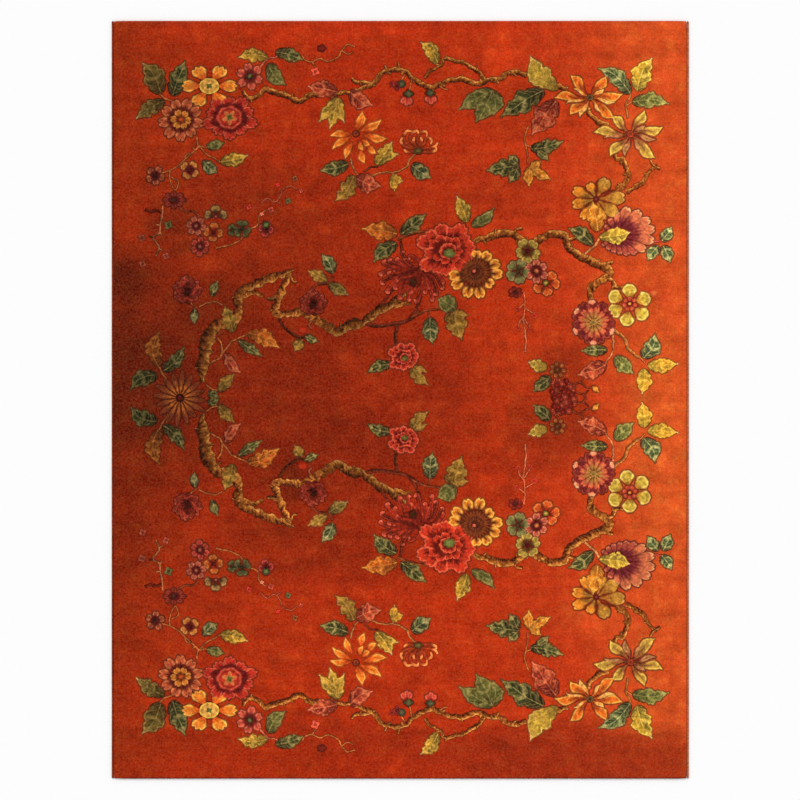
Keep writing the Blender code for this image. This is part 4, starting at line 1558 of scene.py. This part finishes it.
def centre():
    """The middle branch, the twigs and leaves from it and the large flowers round it."""
    stems, leaves, petals = beds("centre")
    branch(stems, [(317, 320), (323, 324), (329, 328), (338, 331), (351, 325), (364, 322), (376, 312),
                   (389, 305), (398, 299), (406, 292), (412, 285)], [7.0, 10.0, 10.5, 10.0, 8.0, 5.0],
           shade=0.78, light_from=LIGHT_BELOW)
    branch(stems, [(394, 306), (402, 303), (410, 304.5)], [6.0, 4.5, 2.4], light_from=LIGHT_BELOW)
    for row in (
        ([(362, 321), (371, 325), (379, 326), (393, 324), (408, 320), (420, 311)], 4.4, dye(104, 44, 28)),
        ([(395, 322), (396, 330), (396, 338), (397, 349)], 4.2, dye(96, 44, 28)),
        ([(398, 325), (410, 318), (417, 306), (421, 296)], 3.4, dye(104, 40, 26)),
        ([(372, 318), (382, 305), (390, 292), (398, 284)], 3.4, dye(104, 38, 26)),
        ([(397, 348), (398, 356), (393, 362)], 2.0),
        ([(408, 320), (418, 314), (428, 310), (444, 310), (454, 314)], 2.4, dye(136, 66, 38)),
        ([(428, 311), (430, 320)], 1.6, dye(136, 66, 38)),
        ([(398, 240), (406, 236), (415, 233), (432, 231)], 3.2, dye(120, 60, 32)),
        ([(400, 240), (401, 247), (405, 257)], 3.0, dye(100, 40, 24)),
        ([(332, 276), (329, 283), (317, 285), (308, 293)], 3.0, dye(112, 50, 30)),
        ([(279, 319), (286, 329), (295, 336), (305, 337)], 3.0, dye(84, 38, 22)),
        ([(309, 316), (312, 320), (309, 325), (311, 329)], 1.8, dye(168, 96, 66)),
        ([(412, 364), (408, 362)], 1.5),
    ):
        twig(stems, *row)
    for row in (
        ((397, 234), (362, 230), 18, "gold", 3, 0.32, 0.06),
        ((401, 234), (425, 213), 15, "pine", 3, 0.25, 0.05),
        ((396, 243), (373, 261), 16, "pine", 3, 0.25, 0.05),
        ((472, 226), (495, 209), 12, "sage", 2, 0.25, 0.05),
        ((391, 364), (367, 371.5), 12, "pine", 3, 0.25, 0.05),
        ((412, 366), (428, 386), 14, "moss", 2, 0.45, 0.05, 0.6),
        ((413, 367), (427, 372), 6, "moss", 1, 0.1),
        ((430, 318), (431.5, 344), 17, "teal", 3, 0.22, 0.0),
        ((456, 309), (438, 298), 18, "sage", 2, 0.12, 0.0, 0.8),
        ((452, 313), (468, 316), 10, "moss", 2, 0.3),
        ((454, 311), (461, 341), 23, "moss", 3, 0.4, 0.0, 0.52),
        ((333, 273), (322.5, 254), 13, "teal", 2, 0.22, 0.05),
        ((327, 281), (307.5, 271.5), 12, "moss", 3, 0.4, 0.05),
        ((329, 284), (348.5, 294), 12, "olive", 3, 0.35, 0.05),
        ((305, 336), (318, 342), 8, "pine", 2, 0.2),
        ((302, 340), (294.5, 351), 11, "moss", 2, 0.15),
    ):
        leaf(leaves, *row)
    wine_curl(petals)
    red_peony(petals, (446, 249.5), 1.0, SAGE, CORAL_PETAL)
    broad_daisy(petals)
    red_peony(petals, (403.4, 356.5), 0.53, OLIVE, SMALL_CORAL)
    disc(petals, (303, 330.5), 3.8, rings(dye(160, 48, 25), (0.5, dye(146, 42, 23))), 0.75,
         outline=dye(122, 34, 20), edge=0.8)
    plum_mum(petals, (313, 303), 14.0, 0.78)


def hooked_petal(bed, heart, end, way, k, width, body, tip):
    """A thin rolled petal from the heart, with its end hooked to the side that way gives."""
    end = np.array(end, float)
    ahead = (end - heart) / np.hypot(*(end - heart))
    aside = np.array([-ahead[1], ahead[0]]) * way
    bow = 0.45 * heart + 0.55 * end - aside * (1.5 + 3 * chance(k))
    size = 0.7 + 0.5 * chance(k + 0.5)
    hook = [end - ahead * size, end + (ahead * 1.2 + aside * 1.8) * size,
            end + (aside * 3.4 - ahead * 1.2) * size]
    curl(bed, [heart + ahead * 2, bow, *hook], width, body, tip, tip_start=0.8, sides=0.4,
         outline=dye(74, 22, 15), edge=1.5)


MUM_PETALS = 22  # of a dark chrysanthemum
SPIRAL_TURN = 2.4  # from one petal or berry to the next, radians, so that none line up


def plum_mum(bed, middle, radius, shade):
    """A dark chrysanthemum: rolled petals from a heart below its middle, with hooked ends."""
    heart = np.array((middle[0], middle[1] + 0.3 * radius))
    dark = rings(dye(60, 21, 16) * shade, (0.4, dye(104, 34, 24) * shade))
    disc(bed, (middle[0], middle[1] + 0.1 * radius), 0.86 * radius, dark, 0.92, 9, 0.25)
    for k in range(MUM_PETALS):
        angle = SPIRAL_TURN * k
        far = radius * (0.45 + 0.47 * math.sqrt((MUM_PETALS - 0.5 - k) / MUM_PETALS))
        end = (middle[0] + far * math.cos(angle), middle[1] + 0.92 * far * math.sin(angle))
        body = (dye(130, 42, 30), dye(164, 58, 43))[k % 2] * shade
        way = -1 if end[0] > heart[0] else 1
        hooked_petal(bed, heart, end, way, k, 2.3, body, dye(184, 88, 70) * shade)


def wine_curl(bed):
    """A spider chrysanthemum: thin wine-red petals that curl at their pink ends."""
    heart = np.array((421.0, 269.0))
    shadow = dye(98, 30, 19)
    disc(bed, (412, 277), 24, rings(shadow, (0.5, dye(132, 38, 20))), 0.8, 11, 0.36, 0.4,
         outline=dye(140, 38, 18), edge=3.0)
    ends = ((402, 254, 1), (397, 261, 1), (384, 264, 1), (390, 262, 1), (394, 268, -1), (381, 273, -1),
            (382, 281, -1), (387, 290, -1), (395, 287, -1), (402, 288, -1), (408, 299, -1), (418, 301, 1),
            (417, 288, 1), (433, 299, 1), (432, 287, 1), (443, 287, 1), (443, 281, 1), (425, 281, 1),
            (411, 279, -1), (405, 278, 1), (399, 297, -1), (390, 275, 1), (412, 256, -1), (404, 262, 1),
            (397, 279, -1), (426, 292, 1), (410, 291, -1), (437, 293, 1))
    for k, (u, v, way) in enumerate(ends):
        body = (dye(96, 29, 20), dye(140, 42, 28), dye(118, 36, 24))[k % 3]
        hooked_petal(bed, heart, (u, v), way, k, 3.0, body, dye(190, 88, 68))
    disc(bed, (413, 282), 4.6, rings(dye(52, 34, 18), (0.5, dye(66, 26, 18))), 1.2, 5, 0.3, rise=0.0003)


PEONY_ROOT = 0.3  # a peony's petals start at this share of their reach


def red_peony(bed, middle, size, heart, paint):
    """A full peony: ruffled petals in three rings round a green heart, pink along their edges."""
    outer = [(-30, -9), (-21, -17), (-7, -26), (8, -23), (18, -26), (24, -14), (30, -3), (27, 9), (19, 20),
             (8, 21), (1, 27), (-12, 24), (-25, 21), (-22, 7)]
    inner = [(-19, -8), (-9, -15), (5, -13), (15, -11), (18, 2), (13, 13), (0, 16), (-13, 11)]
    cup = [(8, 6), (-3, 8), (-10, 2), (9, -3), (-7, -7), (5, -9), (-1, -10)]
    for ring, width, tips in ((outer, 15, 3), (inner, 13, 3), (cup, 9, 2)):
        if ring is cup:
            middle = (middle[0] + 2.6 * size, middle[1] + 2.8 * size)
        for u, v in ring:
            angle = math.atan2(v, u)
            root = (middle[0] + size * PEONY_ROOT * u, middle[1] + size * PEONY_ROOT * v)
            length = size * (1 - PEONY_ROOT) * math.hypot(u, v)
            petal(bed, root, angle, length, size * width, paint, 0.14, tips, 0.24, 0.72, 0.04, rise=0.0001)
    disc(bed, (middle[0] + 0.8 * size, middle[1] + size), max(2.6, 6.2 * size), rings(heart, (0.6, MOSS)),
         0.74, 7, 0.14, rise=0.0003)


def broad_daisy(bed):
    """A broad daisy: gold petals round a fringed dark middle."""
    middle = (475.5, 272)
    gold = petal_paint(dye(76, 38, 20), dye(184, 110, 40), dye(232, 174, 78), 0.25, 0.52, 2.0)
    tips = [(476.7, 249.5), (490, 251.5), (500.5, 262), (503.5, 274.5), (493.5, 286.5), (481, 299),
            (465.5, 298), (451.5, 287.5), (448, 276.5)]
    petals_to(bed, middle, tips, 11.5, gold, 9.0, notch=0.12, corner=0.26, waist=1.2)
    disc(bed, middle, 15.5, rings(dye(72, 34, 20), (0.6, dye(106, 54, 28))), 0.94, 26, 0.34, rise=0.0002)
    disc(bed, middle, 8.5, rayed(dye(66, 30, 20), dye(112, 58, 30), 16, 0.4), 0.94, rise=0.0003, edge=0.8)
    disc(bed, (474, 271), 2.6, rings(dye(206, 110, 88), (0.6, WINE)), rise=0.0004)


def small_mum(bed, middle, radius):
    """A small flower under the berries: rings of narrow dark petals with paler ends."""
    dark = petal_paint(dye(56, 18, 15), dye(118, 36, 24), dye(172, 78, 56), 0.1, 0.5, 0.8)
    for ring, count in ((1.0, 13), (0.72, 10), (0.45, 7)):
        for k in range(count):
            angle = 2 * math.pi * (k + 0.5 * ring) / count
            reach = radius * ring * (0.9 + 0.2 * chance(k + middle[0]))
            root = towards(middle, 2, angle)
            petal(bed, root, angle, reach - 2, radius * 0.3, dark, 0.0, 1, 0.5, 0.8, 0.14)
    disc(bed, middle, radius * 0.14, rings(dye(150, 60, 50), (0.5, MAROON)), rise=0.0002, edge=0.8)


def left_trunk():
    """The trunk on the left, its twigs and leaves, and a dark chrysanthemum."""
    stems, leaves, petals = beds("left_trunk")
    branch(stems, [(291, 272), (285, 274), (276, 276), (268, 280), (259, 283), (244, 289), (238, 299),
                   (239, 310), (234, 320), (224, 323), (217, 325), (209, 337), (205, 350), (203, 362),
                   (203, 373), (202, 382)], [5.0, 8.0, 9.5, 9.5, 10.0, 12.0, 15.0, 16.0, 13.0, 6.0],
           shade=0.93, light_from=LIGHT_BELOW)
    branch(stems, [(288, 273), (287, 281), (281, 292), (277, 303), (275, 310), (280, 315), (290, 313),
                   (300, 312), (310, 315), (320, 323)], [7.0, 8.5, 8.5, 9.0, 9.0, 9.0],
           light_from=LIGHT_BELOW)
    branch(stems, [(242, 297), (249, 293), (256, 293), (264, 295)], [8.0, 5.0, 4.0, 2.4],
           light_from=LIGHT_BELOW)
    branch(stems, [(280, 276), (287, 273), (294, 270.5)], [6.0, 4.0, 2.0], light_from=LIGHT_BELOW)
    branch(stems, [(290, 277), (293, 281), (297, 281.5)], [3.0, 1.8])
    branch(stems, [(278, 298.5), (273, 299), (267, 299)], [4.5, 4.0, 2.4], shade=0.6)
    for row in (
        ([(217, 338), (221, 344), (222, 351), (220, 357), (215, 361), (209, 364)], 2.2),
        ([(222, 353), (228, 346), (233, 341), (240, 337), (251, 333)], 2.0),
        ([(206, 385), (213, 390), (219, 391)], 1.8),
        ([(158, 366), (162, 374), (168, 382)], 2.0),
        ([(189, 302), (193, 306), (197, 308)], 1.5),
        ([(199, 307), (208, 303), (215, 302), (222, 305)], 1.4),
    ):
        twig(stems, *row)
    for row in (
        ((233, 332), (223.5, 306.5), 16, "moss", 3, 0.45, 0.06),
        ((248, 333), (278, 349), 17, "gold", 4, 0.4, -0.12),
        ((239, 341), (262.5, 355), 10, "pine", 3, 0.25, 0.05),
        ((225, 354), (240, 373.5), 12, "rose", 2, 0.25, 0.05),
        ((218.6, 391), (234, 373.5), 12, "moss", 3, 0.3, 0.0),
        ((208, 393), (219, 397), 9, "pine", 2, 0.2),
        ((158.7, 367), (161, 332), 17, "brown", 4, 0.35, -0.22),
        ((163.8, 371), (185, 347.5), 14, "pine", 3, 0.3, 0.05),
        ((157, 374.7), (130, 388.5), 17, "pine", 3, 0.3, 0.12),
        ((212, 296), (217, 281), 8, "pine", 1, 0.1),
        ((195, 309), (194, 324), 8, "teal", 1, 0.1),
    ):
        leaf(leaves, *row)
    plum_mum(petals, (187, 290), 15.5, 0.94)


BERRIES = 26


def axis_flowers():
    """What stands on the fold line: the many-petalled ray flower and the bunch of berries."""
    ray_flower = (180, 398)
    bunch = (563.5, 397)
    petals = Bed("blossoms_on_axis", PETAL_WOOL, PETAL_LIFT)
    SINGLE_BEDS.append(petals)
    dull = petal_paint(dye(200, 120, 54), dye(124, 56, 32), dye(148, 80, 48), 0.3, 0.36, 0.7)
    blossom(petals, ray_flower, 27, 16, dull, 0.74, 0.1, 0.16, 1.0, 0.0, 1, 0.55, 0.12)
    disc(petals, ray_flower, 3.8, rings(dye(110, 34, 24), (0.6, dye(64, 24, 18))), 1.0, 5, 0.1, rise=0.0003)
    for middle, radius in (
        ((557, 384), 6), ((569, 389), 7), ((560, 398), 7), ((571, 402), 6), ((557, 410), 6),
    ):
        small_mum(petals, middle, radius)
    for k in range(BERRIES):
        angle = SPIRAL_TURN * k
        far = 3.2 * math.sqrt(k + 0.5)
        place = (bunch[0] + 0.72 * far * math.cos(angle), bunch[1] + 1.05 * far * math.sin(angle))
        tone = dye(158, 46, 36) if k % 3 else dye(196, 82, 62)
        disc(petals, place, 2.7, rings(tone * 1.15, (0.3, tone * 0.62)), outline=dye(84, 20, 16), edge=1.0)


left_corner()
left_sprigs()
top_branch()
upper_spray()
right_corner()
right_branch()
right_flowers()
centre()
left_trunk()
axis_flowers()


# ------------------------ putting it together
ground = rug_ground()
yarn = wound_yarn()
left_cord = side_cord("wound_cord_left", -1, yarn)
right_cord = side_cord("wound_cord_right", 1, yarn)
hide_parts("side_cord_left")
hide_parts("side_cord_right")

for bed in [bed for bed in MIRRORED_BEDS if bed.points]:
    bed.piece(bed.name + "_upper", False)
    bed.piece(bed.name + "_lower", True)
for bed in SINGLE_BEDS:
    bed.piece(bed.name, False)

# ------------------------ floor, light and camera
FLOOR_SIDE = 40.0
FLOOR_DROP = 0.0004  # the floor lies this far below the rug's back
FLOOR_WHITE = (0.95, 0.95, 0.95, 1.0)
FLOOR_ROUGHNESS = 0.9
ROOM_WHITE = (1.0, 1.0, 1.0, 1.0)
ROOM_LIGHT = 0.72
LAMP_STRENGTH = 1.35
LAMP_SPREAD = math.radians(40)
LAMP_TURN = (math.radians(-38), math.radians(-22), 0.0)
CAMERA_LENS = 100.0  # millimetres, as is the sensor's width
SENSOR_WIDTH = 36.0
CAMERA_REACH = 100.0
FRAME_SIDE = CHART_SIZE * SQUARE


def white_floor():
    """A white floor far wider than the rug."""
    side = FLOOR_SIDE / 2
    corners = [(x, y, -FLOOR_DROP) for x, y in ((-side, -side), (side, -side), (side, side), (-side, side))]
    paint = bpy.data.materials.new("floor_white")
    paint.use_nodes = True
    shader = paint.node_tree.nodes["Principled BSDF"]
    shader.inputs["Base Color"].default_value = FLOOR_WHITE
    shader.inputs["Roughness"].default_value = FLOOR_ROUGHNESS
    shader.inputs["Specular IOR Level"].default_value = 0.0
    floor = add_object("floor", corners, [(0, 1, 2, 3)], paint)


def soft_light():
    """Even light from the whole room, with one wide lamp that comes from the upper left."""
    world = bpy.data.worlds.new("soft_room")
    world.use_nodes = True
    world.node_tree.nodes["Background"].inputs["Color"].default_value = ROOM_WHITE
    world.node_tree.nodes["Background"].inputs["Strength"].default_value = ROOM_LIGHT
    bpy.context.scene.world = world
    lamp = bpy.data.lights.new("wide_lamp", "SUN")
    lamp.energy = LAMP_STRENGTH
    lamp.angle = LAMP_SPREAD
    light = bpy.data.objects.new("wide_lamp", lamp)
    light.rotation_euler = LAMP_TURN
    bpy.context.scene.collection.objects.link(light)


def overhead_camera():
    """A camera straight above, framed as the chart is."""
    lens = bpy.data.cameras.new("overhead")
    lens.lens = CAMERA_LENS
    lens.sensor_width = SENSOR_WIDTH
    lens.dof.use_dof = False
    lens.clip_end = CAMERA_REACH
    camera = bpy.data.objects.new("overhead", lens)
    x, y = on_rug(CHART_SIZE / 2, CHART_SIZE / 2)
    camera.location = (x, y, PILE_FACE + FRAME_SIDE * CAMERA_LENS / SENSOR_WIDTH)
    bpy.context.scene.collection.objects.link(camera)
    bpy.context.scene.camera = camera


white_floor()
soft_light()
overhead_camera()
bpy.context.scene.view_settings.view_transform = "Standard"
